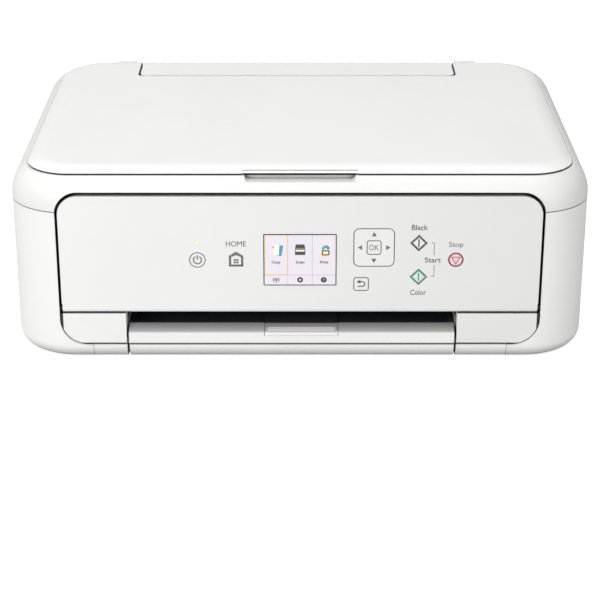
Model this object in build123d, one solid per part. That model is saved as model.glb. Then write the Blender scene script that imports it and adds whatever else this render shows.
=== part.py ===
from build123d import *
import math
import os

# Multifunction printer: a white A4 inkjet printer with a flatbed scanner.
# Millimetres. X runs to the right seen from the front, the front faces -Y, Z is up,
# and the origin lies under the middle of the case on the surface that it stands on.

# Outer case
case_width = 425.0
case_depth = 315.0
total_height = 147.0
foot_height = 1.8
front_corner = 46.0
back_corner = 50.0
top_round = 26.0
bottom_round = 12.0
wall = 2.5
shell_gap = 0.3

# Seams, measured from the top of the cover and from the table
cover_height = 3.8
cover_gap = 1.2
cover_seat_lift = 0.1
housing_height = 25.4
groove_height = 14.3
groove_width = 1.2

# Front window and what closes it
window_side = 35.9
window_low = 13.6
window_drop = 14.6
window_top_radius = 16.0
window_low_radius = 20.0
jamb_wall = 2.0
jamb_depth = 16.0
panel_setback = 2.0
panel_gap = 1.9
panel_top_drop = 0.9
panel_low = 39.1
panel_depth = 11.5
panel_plate = 2.8
panel_rim = 2.4
panel_hinge_radius = 3.0
panel_pin_radius = 1.6
panel_back_plate = 2.0
panel_post_radius = 2.5
panel_post_pitch = 80.0
trim_gap = 0.6
trim_depth = 12.0
slot_left = -128.0
slot_right = 115.6
flange_inset = 24.2
inner_frame_gap = 2.6
inner_frame_thickness = 2.5
inner_frame_side = 0.6
bay_inset = 14.6
bay_low = 48.0
bay_high = 108.0
bay_border = 4.0
slot_top = 41.0

# Finger recess under the cover's front edge
recess_half = 40.0
recess_height = 4.2
recess_depth = 9.0
thumb_band_half = 41.5
thumb_band_height = 1.7
thumb_band_depth = 0.5

# Cooling grooves in the back wall over the power supply
vent_count = 16
vent_pitch = 5.6
vent_width = 2.2
vent_height = 26.0
vent_depth = 1.3
vent_side = 82.0
vent_low = 60.0

# Keys, lamp and display on the front panel
key_gap = 0.3
key_hole_gap = 0.4
key_travel = 0.6
key_flange = 1.2
key_flange_thickness = 1.2
key_stem_radius = 1.8
key_stack = 3.4
display_centre = (0.0, 80.9)
display_size = (52.5, 39.5)
display_border = 2.5
pad_centre = (53.65, 90.5)
pad_size = (29.1, 29.0)
pad_radius = 4.0
pad_tilt_gap = 0.65
pad_flange_thickness = 0.8
pad_switch_reach = 12.7
gimbal_thickness = 0.7
gimbal_inner = 5.0
gimbal_outer = 9.0
ok_size = (9.9, 10.4)
ok_flange = 1.0
back_centre = (44.6, 61.9)
back_size = (10.4, 10.0)
small_key_radius = 1.6
power_centre = (-74.5, 80.8)
power_radius = 5.55
home_centre = (-46.4, 81.5)
home_size = (9.6, 10.8)
home_eaves = 7.7
black_centre = (86.05, 94.0)
color_centre = (86.35, 67.6)
start_half = 5.9
stop_centre = (113.1, 81.0)
stop_radius = 5.25
lamp_centre = (-74.5, 94.3)
lamp_radius = 1.2
lamp_gap = 0.15
board_thickness = 1.6
board_margin = 13.0
control_board_z = (52.0, 112.0)
switch_size = 4.0
switch_height = 0.9
seat_gap = 0.1

# Output tray and its support
tray_gap = 1.7
tray_low_gap = 0.4
tray_setback = 0.7
tray_lip = 23.9
tray_lip_round = 0.8
tray_crest = 27.6
tray_slope_depth = 8.6
tray_bar_depth = 10.6
tray_plate_low = 18.4
tray_plate_thickness = 2.5
tray_length = 122.8
tray_rim_width = 2.0
tray_rim_height = 3.1
support_plate = 2.0
support_length = 114.8
tab_left = -26.0
tab_right = 28.0
slide_gap = 0.3

# Cassette in the base
cassette_gap = 2.1
cassette_wall = 1.8
cassette_floor = 1.5
cassette_rim = 13.4
cassette_front_depth = 13.5
cassette_back_gap = 5.0
lip_thickness = 1.0
lip_reach = 6.6
tunnel_wall = 2.5
tunnel_top = 27.0
tunnel_supply_gap = 8.5
ledge_thickness = 1.6
ledge_reach = 2.4
paper_width = 210.0
guide_wall = 2.0
guide_foot = 12.0
guide_foot_thickness = 0.8
guide_length = 60.0
guide_side_gap = 12.6
guide_middle = -10.0
guide_drop = 0.6
end_guide_width = 38.0
end_guide_foot_width = 16.0
end_guide_gap = 8.0

# Scanner
deck_sink = 2.2
deck_thickness = 4.6
glass_length = 303.0
glass_front_margin = 9.6
glass_back_margin = 0.9
glass_thickness = 2.8
glass_lip = 3.0
scanner_side = 16.5
scanner_front_inset = 18.9
scanner_wall = 2.0
scanner_floor = 2.5
scanner_floor_drop = 2.4
scan_rod_radius = 3.0
scan_rod_lift = 8.0
scan_bar_width = 14.0
scan_bar_height = 9.0
scan_bar_start = 5.5
scan_bar_top_gap = 0.4
scan_bar_end_gap = 3.0

# Document cover, rear flap and rear feed
lid_wall = 2.6
pad_margin = 2.0
pad_glass_gap = 0.4
flap_left = -134.2
flap_right = 129.4
flap_depth = 48.0
flap_back_inset = 13.3
flap_gap = 1.8
flap_front_gap = 3.1
flap_corner = 5.0
flap_pivot_in = 7.2
flap_pivot_drop = 3.4
flap_ear = 3.4
flap_seat = 1.3
flap_ear_width = 3.0
flap_pin_radius = 1.5
lid_pivot_in = 7.5
lid_pivot_drop = 2.7
lid_knuckle_radius = 4.0
lid_pin_radius = 1.8
lid_arm_reach = (9.0, 17.0)
left_knuckle_gap = 7.8
left_knuckle_width = 15.0
right_knuckle_gap = 4.6
right_knuckle_width = 18.0
knuckle_end_gap = 0.4
hinge_ear_width = 3.0
hinge_ear_wall = 1.6
cheek = 2.2
chute_foot = (77.5, 48.0)
chute_head = (17.5, 13.2)
chute_thickness = 2.5
rear_guide_height = 10.0
rear_guide_length = 58.0
rear_guide_slope = 8.0
gusset_thickness = 3.5
gusset_inset = 2.6
gusset_depth = 30.0
support_width = 140.0
pullup_thickness = 2.4
pullup_tilt = 8.0
pullup_inset = 10.6
pullup_drop = 0.2
pullup_length = 95.0
pullup_slot_back = 3.2
channel_wall = 3.6
channel_lip = 2.0

# Print mechanism
sheet = 1.5
chassis_side = 26.0
chassis_front = -66.0
chassis_chute_gap = 4.0
chassis_drop = 17.8
chassis_foot = (16.0, 20.0)
rail_y = 17.0
rail_low = 50.0
shaft_radius = 3.0
shaft_fit = 0.05
roller_height = 38.0
feed_y = 8.0
feed_radius = 6.0
feed_rubber_gap = 6.0
eject_radius = 4.5
eject_rubber_length = 12.0
eject_rubber_count = 6
eject_rubber_pitch = 42.0
gear_module = 1.0
gear_width = 5.0
gear_gap = 2.5
feed_teeth = 40
idler_teeth = 30
eject_teeth = 32
pinion_teeth = 12
pinion_angle = -50.0
pinion_bore = 1.6
axle_end = 1.1
motor_radius = 12.5
motor_length = 30.0
rear_roller_radius = 17.0
rear_roller_gap = 2.35
rear_roller_along = 0.4
rear_roller_length = 25.0
rear_roller_offset = 45.0
platen_top = 43.4
platen_low = 30.0
platen_rib = 3.0
platen_rib_width = 2.0
platen_rib_count = 12
platen_end_gap = 30.0
roller_gap = 2.0
purge_reach = 29.0
purge_gap = 0.2
purge_top = 45.8
purge_cap_size = 18.0
purge_cap_height = 10.0
purge_cap_wall = 2.0

# Carriage and cartridges
carriage_side_gap = 5.5
carriage_width = 82.0
carriage_low = 47.0
carriage_drop = 8.0
carriage_front = -52.0
carriage_wall = 2.0
nozzle_margin = 5.0
nozzle_depth = (12.0, 44.0)
cartridge_width = 35.0
cartridge_depth = 56.0
cartridge_sink = 0.7
cartridge_gap = 0.4
grip_inset = 6.0
grip_depth = 4.0
grip_height = 8.0
latch_thickness = 3.0
latch_length = 30.0
latch_width = 30.0
latch_lift = 2.6
latch_inset = 2.0
latch_pin_radius = 1.5
latch_hub_radius = 2.2
latch_tab_inset = 8.0
latch_post = 2.4
hook_half = 28.0
hook_depth = 6.0
hook_thickness = 4.0
belt_thickness = 1.2
belt_width = 5.0
belt_gap = 1.0
belt_drop = 24.0
pulley_radius = 6.5
pulley_pin_radius = 1.5
pulley_side = 18.5
carriage_motor_radius = 13.5
carriage_motor_length = 28.0
motor_bracket = (6.0, 18.0, 12.0)

# Power supply and main board in the back
supply_side = 62.5
supply_width = 58.0
supply_depth = 31.4
supply_back_gap = 12.1
supply_height = 42.0
inlet_size = (17.0, 9.0)
inlet_depth = 12.0
inlet_height = 24.0
inlet_corner = 2.6
inlet_pin_radius = 1.2
inlet_pin_half_pitch = 4.2
inlet_pin_recess = 5.2
main_board_side = 64.5
main_board_size = (118.0, 38.0)
main_board_back_gap = 6.5
board_height = 13.0
board_post_radius = 2.5
board_post_inset = 4.0
port_inset = 38.0
port_size = (12.0, 11.0)
port_wall = 1.6
port_length = 14.0
chip_size = (36.0, 22.0, 6.0)
chip_inset = (30.0, 7.0)
capacitor_size = (8.0, 10.0, 12.0)
capacitor_inset = (15.0, 9.0)
front_foot_inset = (40.5, 39.5)
back_foot_inset = (44.5, 45.5)
foot_radius = 7.0

# Case planes that follow from those sizes
far = case_width + case_depth
half_width = case_width / 2
front_y = -case_depth / 2
back_y = case_depth / 2
case_low = foot_height
floor_top = case_low + wall
lid_parting = total_height - cover_height
cover_low = lid_parting + cover_seat_lift
rim_top = cover_low - cover_gap
seam_height = lid_parting - housing_height
deck_top = lid_parting - deck_sink
deck_low = deck_top - deck_thickness

# Window, panel and base planes that follow
window_half = half_width - window_side
window_high = total_height - window_drop
flange_half = window_half - flange_inset
bay_half = window_half - bay_inset
panel_front = front_y + panel_setback
panel_back_y = panel_front + panel_depth
plate_back = panel_front + panel_plate
frame_front = panel_back_y + inner_frame_gap
frame_back = frame_front + inner_frame_thickness
jamb_back = front_y + jamb_depth
strip_top = groove_height - groove_width / 2
trim_low = groove_height + groove_width / 2
tray_low = trim_low + tray_low_gap
trim_top = panel_low - 2 * key_gap - 0.2
hinge_y = panel_front + panel_hinge_radius
hinge_z = panel_low + panel_hinge_radius
slot_middle = (slot_left + slot_right) / 2
tray_front = front_y + tray_setback
tray_bar_back = tray_front + tray_bar_depth
tray_plate_top = tray_plate_low + tray_plate_thickness
cassette_x = (slot_left + cassette_gap, slot_right - cassette_gap + 0.2)
cassette_bottom = case_low + lip_thickness + slide_gap
guide_bottom = cassette_bottom + cassette_floor + slide_gap

# Key, switch and board planes in the panel that follow
switch_front = plate_back + key_stack
board_front = switch_front + switch_height
pad_back = plate_back + pad_tilt_gap + pad_flange_thickness
gimbal_front = pad_back + slide_gap

# Rear flap, hinges and rear feed that follow
flap_back = back_y - flap_back_inset
flap_front = flap_back - flap_depth
flap_pivot = (flap_back - flap_pivot_in, lid_parting - flap_pivot_drop)
slot_front = flap_front - flap_gap
notch_front = flap_front - flap_front_gap
slot_ends = (flap_left - flap_gap, flap_right + flap_gap)
lid_pivot = (back_y - lid_pivot_in, lid_parting - lid_pivot_drop)
left_knuckle = (flap_left - left_knuckle_gap - left_knuckle_width, flap_left - left_knuckle_gap)
right_knuckle = (flap_right + right_knuckle_gap, flap_right + right_knuckle_gap + right_knuckle_width)
chute_low = (back_y - chute_foot[0], chute_foot[1])
chute_high = (back_y - chute_head[0], lid_parting - chute_head[1])
chute_length = math.hypot(chute_high[0] - chute_low[0], chute_high[1] - chute_low[1])
pullup_top = (back_y - pullup_inset, deck_top - pullup_drop)

# Scanner planes that follow
scanner_half = half_width - scanner_side
scanner_front = front_y + scanner_front_inset
scanner_back = slot_front - cheek - shell_gap
scanner_floor_low = seam_height - scanner_floor_drop
scan_rod_height = scanner_floor_low + scan_rod_lift
glass_y = (scanner_front + glass_front_margin, scanner_back - glass_back_margin)
glass_middle = (glass_y[0] + glass_y[1]) / 2
glass_x = (-glass_length / 2, glass_length / 2)
scan_bar_rest = glass_x[0] + scan_bar_start

# Mechanism places that follow
chassis_half = half_width - chassis_side
chassis_back = chute_low[0] + chassis_chute_gap
chassis_top = seam_height - chassis_drop
axle_reach = chassis_half + axle_end
gear_inner = -(chassis_half + gear_gap)
gear_outer = gear_inner - gear_width
carriage_middle = chassis_half - carriage_side_gap - carriage_width / 2
carriage_high = chassis_top - carriage_drop
cartridge_low = carriage_low + carriage_wall + slide_gap
cartridge_high = carriage_high - cartridge_sink
latch_pivot = (carriage_front + cartridge_depth - latch_inset, carriage_high + latch_lift)
platen_right = carriage_middle - platen_end_gap
purge_right = carriage_middle + purge_reach
belt_height = chassis_top - belt_drop
belt_y = (rail_y + sheet + belt_gap, rail_y + sheet + belt_gap + belt_width)
pulley_half_span = chassis_half - pulley_side

# Boards and feet that follow
supply_x = (-half_width + supply_side, -half_width + supply_side + supply_width)
supply_y = (back_y - supply_back_gap - supply_depth, back_y - supply_back_gap)
inlet_x = (supply_x[0] + supply_x[1]) / 2
tunnel_back = supply_y[0] - tunnel_supply_gap - tunnel_wall
cassette_back = tunnel_back - cassette_back_gap
main_board_x = (half_width - main_board_side - main_board_size[0], half_width - main_board_side)
main_board_y = (back_y - main_board_back_gap - main_board_size[1], back_y - main_board_back_gap)
port_x = main_board_x[1] - port_inset
port_height = board_height + board_thickness + port_size[1] / 2
feet_places = (
    (-half_width + front_foot_inset[0], front_y + front_foot_inset[1]),
    (half_width - front_foot_inset[0], front_y + front_foot_inset[1]),
    (-half_width + back_foot_inset[0], back_y - back_foot_inset[1]),
    (half_width - back_foot_inset[0], back_y - back_foot_inset[1]),
)


def block(x, y, z):
    """A box from its low and high ends along X, Y and Z."""
    size = [high - low for low, high in (x, y, z)]
    middle = [(high + low) / 2 for low, high in (x, y, z)]
    return Pos(*middle) * Box(*size)


def bar_x(x, y, z, radius):
    """A round bar along X between the two ends in x."""
    return Pos((x[0] + x[1]) / 2, y, z) * Rot(0, 90, 0) * Cylinder(radius, x[1] - x[0])


def bar_y(x, y, z, radius):
    """A round bar along Y between the two ends in y."""
    return Pos(x, (y[0] + y[1]) / 2, z) * Rot(90, 0, 0) * Cylinder(radius, y[1] - y[0])


def bar_z(x, y, z, radius):
    """A round bar along Z between the two ends in z."""
    return Pos(x, y, (z[0] + z[1]) / 2) * Cylinder(radius, z[1] - z[0])


def front_prism(sketch, y):
    """A sketch drawn in X and Z, filled between the two ends in y."""
    plane = Plane(origin=(0, y[1], 0), x_dir=(1, 0, 0), z_dir=(0, -1, 0))
    return extrude(plane * sketch, y[1] - y[0])


def side_prism(points, x):
    """A closed outline of (Y, Z) points, filled between the two ends in x."""
    plane = Plane(origin=(x[0], 0, 0), x_dir=(0, 1, 0), z_dir=(1, 0, 0))
    return extrude(plane * make_face(Polyline(*points, close=True)), x[1] - x[0])


def all_space(low=-far, high=far):
    """A slab of space between two heights, wider than the object."""
    return block((-far, far), (-far, far), (low, high))


def envelope(inset=0.0):
    """The rounded block of the whole case, drawn in by inset on every side."""
    plan = Rectangle(case_width - 2 * inset, case_depth - 2 * inset)
    plan = fillet(plan.vertices().filter_by(lambda corner: corner.Y < 0), front_corner - inset)
    corners = plan.vertices().group_by(Axis.Y)[-1]
    plan = fillet(corners, back_corner - inset)
    height = total_height - case_low - 2 * inset
    body = extrude(Pos(0, 0, case_low + inset) * plan, height)
    body = fillet(body.edges().group_by(Axis.Z)[-1], top_round - inset)
    return fillet(body.edges().group_by(Axis.Z)[0], bottom_round - inset)


def window_outline(inset=0.0, top_drop=0.0):
    """The outline of the front window, drawn in by inset, its top lowered by top_drop."""
    width = 2 * (window_half - inset)
    height = window_high - window_low - 2 * inset - top_drop
    middle = (window_high + window_low - top_drop) / 2
    outline = Rectangle(width, height)
    outline = fillet(outline.vertices().group_by(Axis.Y)[-1], window_top_radius - inset)
    outline = fillet(outline.vertices().group_by(Axis.Y)[0], window_low_radius - inset)
    return Pos(0, middle) * outline


def panel_outline(inset=0.0):
    """The outline of the control panel, drawn in by inset."""
    return window_outline(panel_gap + inset, panel_top_drop)


outer = envelope()
inner = envelope(wall)
case_shell = outer - inner
window = front_prism(window_outline(), (front_y - 1, jamb_back))
jamb = (front_prism(window_outline(-jamb_wall), (front_y, jamb_back)) & outer) - window
strip_space = block((-flange_half, flange_half), (-far, far), (0, strip_top))


def make_main_case():
    """The outer shell below the scanner seam, with the window's jamb."""
    space = block(widen((-flange_half, flange_half), shell_gap), (-far, far), (0, strip_top + shell_gap))
    body = (case_shell - window - space) + (jamb - space)
    body = body & all_space(high=seam_height - shell_gap)
    for side in (-1, 1):
        ends = sorted((side * (window_half - 1), side * (window_half + jamb_wall + 1)))
        body -= bar_x(ends, hinge_y, hinge_z, panel_pin_radius + shaft_fit)
    back_wall = (back_y - 2 * wall, back_y + 1)
    body -= around((inlet_x, inlet_height), inlet_size, back_wall)
    body -= around((port_x, port_height), port_size, back_wall)
    for step in range(vent_count):
        x = -half_width + vent_side + step * vent_pitch
        groove = (back_y - vent_depth, back_y + 1)
        body -= block((x, x + vent_width), groove, (vent_low, vent_low + vent_height))
    return body + make_channels()


def around(centre, size, y):
    """The hole in the back wall for a connector, with a gap on each side."""
    margin = 1.0
    x = widen((centre[0] - size[0] / 2, centre[0] + size[0] / 2), margin)
    z = widen((centre[1] - size[1] / 2, centre[1] + size[1] / 2), margin)
    return block(x, y, z)


def widen(ends, margin):
    """A pair of ends moved apart by margin on each side."""
    return (ends[0] - margin, ends[1] + margin)


def pullup_line(height, offset):
    """Y of the pull-up support's plane at a height, moved back by offset."""
    slope = math.tan(math.radians(pullup_tilt))
    return pullup_top[0] - (pullup_top[1] - height) * slope + offset


def make_channels():
    """The two channels on the back wall that hold the pull-up paper support."""
    low = pullup_top[1] - pullup_length
    high = seam_height - 2 * shell_gap
    half = pullup_thickness / 2 / math.cos(math.radians(pullup_tilt))
    lip = half + channel_lip
    reach = half + shell_gap
    wall_y = back_y - wall + 0.2
    channels = []
    for side in (-1, 1):
        edge = side * support_width / 2
        outside = edge + side * (shell_gap + channel_wall)
        inside = edge - side * channel_lip
        outline = [(wall_y, low), (wall_y, high), (pullup_line(high, -lip), high), (pullup_line(low, -lip), low)]
        body = side_prism(outline, sorted((outside, inside)))
        ends = widen((low, high), channel_wall)
        slot = [(pullup_line(z, sign * reach), z) for z, sign in
                ((ends[0], 1), (ends[1], 1), (ends[1], -1), (ends[0], -1))]
        channels.append(body - side_prism(slot, sorted((edge + side * shell_gap, inside - side))))
    return channels[0] + channels[1]


def make_bottom_case():
    """The base with its front strips, the tunnel walls and their ledges and lips."""
    body = case_shell & strip_space
    below = (-far, floor_top + 1)
    body -= block(tunnel_span(0), (-far, front_y + cassette_front_depth + shell_gap), (-far, far))
    body -= block(tunnel_span(-lip_reach), (-far, tunnel_back), below)
    body -= block(tunnel_span(0), (-far, tunnel_back), (case_low + lip_thickness, far))
    left, right = tunnel_span(0)
    y = (frame_back + shell_gap, tunnel_back)
    ledge_top = tray_plate_low - slide_gap
    for edge, inward in ((left, 1), (right, -1)):
        run = sorted((edge, edge - inward * tunnel_wall))
        body += block(run, y, (floor_top - 1, tunnel_top))
        ledge = sorted((edge - inward * 0.5, edge + inward * ledge_reach))
        body += block(ledge, y, (ledge_top - ledge_thickness, ledge_top))
    body += block(tunnel_span(tunnel_wall), (tunnel_back - shell_gap, tunnel_back + tunnel_wall),
                  (floor_top - 1, tunnel_top))
    for x in widen(main_board_x, -board_post_inset):
        for y in widen(main_board_y, -board_post_inset):
            body += bar_z(x, y, (floor_top - 1, board_height - shaft_fit), board_post_radius)
    return body


def tunnel_span(margin):
    """The cassette tunnel's two ends along X, widened by margin."""
    return (slot_left + shell_gap - margin, slot_right - shell_gap + margin)


def make_trim(side):
    """A lower front trim beside the output slot, hollow behind."""
    depth = (panel_front, panel_front + trim_depth)
    inner_edge = slot_left if side < 0 else slot_right
    ends = sorted((inner_edge, side * half_width))
    body = front_prism(window_outline(trim_gap), depth) & block(ends, (-far, far), (trim_low, trim_top))
    inner_ends = sorted((inner_edge + side * panel_rim, side * half_width))
    space = front_prism(window_outline(trim_gap + panel_rim), (plate_back, depth[1] + 1))
    space = space & block(inner_ends, (-far, far), (trim_low + panel_rim, trim_top - panel_rim))
    return (body - space) & envelope(0.2)


def make_inner_frame():
    """The dark frame behind the panel, open at the slot and at the cartridge bay."""
    half = window_half - inner_frame_side
    y = (frame_front, frame_back)
    frame = block((-half, half), y, (trim_low, bay_high + bay_border))
    frame -= block((slot_left, slot_right), (-far, far), (-far, slot_top))
    frame -= block((-bay_half, bay_half), (-far, far), (bay_low, bay_high))
    return frame & front_prism(window_outline(inner_frame_side), y)


def make_feet():
    """Four round rubber feet under the case."""
    feet = [bar_z(x, y, (0, foot_height), foot_radius) for x, y in feet_places]
    return Compound(feet)


def make_scanner_housing():
    """The upper ring with the glass deck, the rear slot and the hinge cheeks."""
    band = all_space(low=seam_height + shell_gap, high=rim_top)
    body = ((case_shell - window) + jamb) & band
    inside = envelope(wall - 0.2) & all_space(low=seam_height + shell_gap, high=rim_top - 0.1)
    body += inside & block((-far, far), (-far, slot_front), (deck_low, deck_top))
    cheeks_x = widen(slot_ends, cheek)
    wall_y = slot_front - cheek
    body += inside & block(cheeks_x, (wall_y, slot_front), (0, deck_top))
    for edge, side in ((slot_ends[0], -1), (slot_ends[1], 1)):
        body += inside & block(sorted((edge, edge + side * cheek)), (wall_y, far), (0, far))
        roof = sorted((edge + side * (cheek - 0.5), side * far))
        body += inside & block(roof, (wall_y, far), (deck_low, deck_top))
    body -= block(slot_ends, (slot_front, far), (flap_pivot[1] - flap_seat, far))
    body -= block(slot_ends, (slot_front, pullup_top[0] + pullup_slot_back), (deck_low, far))
    body -= block(widen(glass_x, key_gap), widen(glass_y, key_gap), (deck_top - glass_thickness - 0.1, far))
    body -= block(widen(glass_x, -glass_lip), widen(glass_y, -glass_lip), (deck_low - 1, far))
    body -= bar_x(widen(cheeks_x, 1), flap_pivot[0], flap_pivot[1], flap_pin_radius + shaft_fit)
    return cut_lid_seats(cut_recess(body))


def cut_recess(body):
    """The finger recess in the front edge under the document cover."""
    recess_low = lid_parting - recess_height
    outline = Pos(0, lid_parting) * RectangleRounded(2 * recess_half, 2 * recess_height, 0.8 * recess_height)
    shelf = front_y + top_round - math.sqrt(top_round ** 2 - (recess_low - total_height + top_round) ** 2)
    body -= front_prism(outline, (-far, shelf + recess_depth))
    return body - block((-recess_half, recess_half), (-far, shelf), (recess_low, lid_parting + 1))


def cut_lid_seats(body):
    """Pockets in the housing for the document cover's hinge knuckles, with their pins."""
    y, z = lid_pivot
    ear_space = envelope(shell_gap) & all_space(high=rim_top)
    for knuckle in (left_knuckle, right_knuckle):
        ends = widen(knuckle, knuckle_end_gap)
        body -= bar_x(ends, y, z, lid_knuckle_radius + 2 * shell_gap)
        body -= block(ends, (y - lid_arm_reach[0], far), (z, far))
        body += bar_x(widen(ends, hinge_ear_width), y, z, lid_pin_radius) & outer
        for x in (ends[0] - hinge_ear_width, ends[1]):
            ear_x = (x, x + hinge_ear_width)
            ear = bar_x(ear_x, y, z, lid_pin_radius + hinge_ear_wall)
            web = block(ear_x, widen((y, y), hinge_ear_width), (deck_low - 6, z))
            body += (ear + web) & ear_space
    return body


def make_scanner_base():
    """The tray that closes the scanner below and carries its rod."""
    x = (-scanner_half, scanner_half)
    y = (scanner_front, scanner_back)
    high = deck_low - 0.1
    body = block(x, y, (scanner_floor_low, high))
    body -= block(widen(x, -scanner_wall), widen(y, -scanner_wall), (scanner_floor_low + scanner_floor, far))
    return body & envelope(wall + shell_gap)


def make_scanner_rod():
    """The rod that the scanner carriage runs on, between the base's end walls."""
    reach = scanner_half - scanner_wall - 0.1
    return bar_x((-reach, reach), glass_middle, scan_rod_height, scan_rod_radius)


def make_scanner_carriage():
    """The sensor bar under the glass on a sled that rides the rod."""
    x = widen((scan_bar_rest, scan_bar_rest), scan_bar_width / 2)
    top = deck_low - scan_bar_top_gap
    middle = widen((glass_middle, glass_middle), 2.6 * scan_rod_radius)
    sled = block(x, middle, (scan_rod_height - 1.5 * scan_rod_radius, top - 4))
    bar = block(x, widen(glass_y, -scan_bar_end_gap), (top - scan_bar_height, top))
    return (sled + bar) - bar_x(widen(x, 1), glass_middle, scan_rod_height, scan_rod_radius + shaft_fit)


def make_glass():
    """The platen glass in its recess."""
    return block(glass_x, glass_y, (deck_top - glass_thickness, deck_top))


def make_document_cover():
    """The lid on top, hollow below, with a notch for the rear flap and two knuckles."""
    body = outer & all_space(low=cover_low)
    body -= envelope(lid_wall) & all_space(high=total_height - lid_wall)
    middle = (slot_ends[0] + slot_ends[1]) / 2
    depth = far - notch_front
    notch = Pos(middle, notch_front + depth / 2) * RectangleRounded(slot_ends[1] - slot_ends[0], depth, flap_corner)
    body -= extrude(Pos(0, 0, lid_parting - 5) * notch, far)
    band_skin = outer - envelope(thumb_band_depth)
    band_x = (-thumb_band_half, thumb_band_half)
    body -= band_skin & block(band_x, (-far, 0), (0, cover_low + thumb_band_height))
    y, z = lid_pivot
    top = z + lid_knuckle_radius
    low = cover_low
    front, back = y - lid_arm_reach[1], y - lid_arm_reach[0]
    for ends in (left_knuckle, right_knuckle):
        arm = side_prism([(y, top), (y, z), (y - lid_knuckle_radius, z), (back, low), (front, low), (front, top)],
                         ends)
        body += bar_x(ends, y, z, lid_knuckle_radius) + arm
        body -= bar_x(widen(ends, hinge_ear_width), y, z, lid_pin_radius + shaft_fit)
    return body


def make_document_pad():
    """The white pad under the cover that presses the page on the glass."""
    z = (deck_top + pad_glass_gap, total_height - lid_wall - 0.1)
    return block(widen(glass_x, pad_margin), (glass_y[0], glass_y[1] - 1), z)


def make_rear_flap():
    """The flap over the rear paper slot, with its ears and hinge pins."""
    shell = outer - envelope(lid_wall)
    plan = Rectangle(flap_right - flap_left, flap_depth)
    plan = fillet(plan.vertices().group_by(Axis.Y)[0], flap_corner)
    plan = Pos((flap_left + flap_right) / 2, (flap_front + flap_back) / 2) * plan
    body = shell & extrude(Pos(0, 0, lid_parting - 5) * plan, far)
    y, z = flap_pivot
    for end, side in ((flap_left, -1), (flap_right, 1)):
        ends = sorted((end, end - side * flap_ear_width))
        ear = bar_x(ends, y, z, flap_ear)
        web = block(ends, widen((y, y), flap_ear), (z, total_height - lid_wall + 0.5))
        body += (ear + web) & outer
        body += bar_x(sorted((end - side, end + side * (flap_gap + cheek))), y, z, flap_pin_radius)
    return body


def chute_point(along, off):
    """A (Y, Z) point at a distance up the chute and off its middle plane to the front."""
    uy = (chute_high[0] - chute_low[0]) / chute_length
    uz = (chute_high[1] - chute_low[1]) / chute_length
    return (chute_low[0] + uy * along - uz * off, chute_low[1] + uz * along + uy * off)


rear_roller_place = chute_point(rear_roller_along, chute_thickness / 2 + rear_roller_gap + rear_roller_radius)


def make_rear_tray():
    """The sloping chute plate of the rear feed on its two gussets."""
    half = chute_thickness / 2
    body = side_prism([chute_point(0, -half), chute_point(chute_length, -half),
                       chute_point(chute_length, half), chute_point(0, half)], (flap_left, flap_right))
    foot = floor_top + shaft_fit
    front, back = chute_low[0] - half, chute_low[0] + gusset_depth
    knee = chute_low[1] + 6
    for edge, side in ((slot_left - gusset_inset, -1), (slot_right + gusset_inset, 1)):
        outline = [(front, foot), chute_point(0, 0), chute_point(chute_length * 0.8, 0), (back, knee), (back, foot)]
        body += side_prism(outline, sorted((edge, edge + side * gusset_thickness)))
    return body


def make_rear_guide(side):
    """One of the two upright paper guides on the chute."""
    edge = (flap_left + flap_right) / 2 + side * (paper_width / 2 + key_gap)
    low = chute_thickness / 2 + slide_gap
    high = low + rear_guide_height
    start = (chute_length - rear_guide_length) / 2
    stop = start + rear_guide_length
    upright = [chute_point(start, low), chute_point(stop, low), chute_point(stop - rear_guide_slope, high),
               chute_point(start + rear_guide_slope, high)]
    base_top = low + guide_foot_thickness
    base = [chute_point(start, low), chute_point(stop, low), chute_point(stop, base_top),
            chute_point(start, base_top)]
    body = side_prism(upright, sorted((edge, edge + side * guide_wall)))
    return body + side_prism(base, sorted((edge, edge + side * guide_foot)))


def make_paper_support():
    """The plate that pulls up behind the flap to hold the sheets."""
    half = pullup_thickness / 2
    tilt = math.radians(pullup_tilt)
    up_y, up_z = math.sin(tilt), math.cos(tilt)
    corners = []
    for along, off in ((0, -half), (0, half), (-pullup_length, half), (-pullup_length, -half)):
        corners.append((pullup_top[0] + along * up_y + off * up_z, pullup_top[1] + along * up_z - off * up_y))
    return side_prism(corners, (-support_width / 2, support_width / 2))


def make_front_panel():
    """The flat control panel with its rim, key holes and hinge pins."""
    through = (panel_front - 1, plate_back + 1)
    body = front_prism(panel_outline(), (panel_front, panel_back_y)) & all_space(low=panel_low)
    edge = body.edges().filter_by(Axis.X).sort_by(lambda e: e.center().Y + e.center().Z)[0]
    body = fillet(edge, panel_hinge_radius - 0.1)
    hollow = front_prism(panel_outline(panel_rim), (plate_back, panel_back_y + 1))
    body -= hollow & all_space(low=hinge_z)
    for name in key_shapes:
        body -= front_prism(key_sketch(name, key_hole_gap), through)
    screen = Rectangle(display_size[0] + 2 * key_gap, display_size[1] + 2 * key_gap)
    body -= front_prism(Pos(*display_centre) * screen, through)
    body -= bar_y(lamp_centre[0], through, lamp_centre[1], lamp_radius + lamp_gap)
    for side in (-1, 1):
        ends = sorted((side * (window_half - panel_gap - panel_rim), side * (window_half + jamb_wall - 0.2)))
        body += bar_x(ends, hinge_y, hinge_z, panel_pin_radius)
    return body


def key_sketch(name, margin):
    """The outline of one key, widened by margin, in X and Z."""
    kind, centre, size = key_shapes[name]
    if kind == "round":
        outline = Circle(size + margin)
    elif kind == "diamond":
        outline = Rot(0, 0, 45) * Rectangle(*(2 * (start_half * math.sqrt(0.5) + margin),) * 2)
    elif kind == "house":
        outline = house_outline(margin)
    else:
        outline = RectangleRounded(size[0] + 2 * margin, size[1] + 2 * margin, kind + margin)
    return Pos(*centre) * outline


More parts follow.
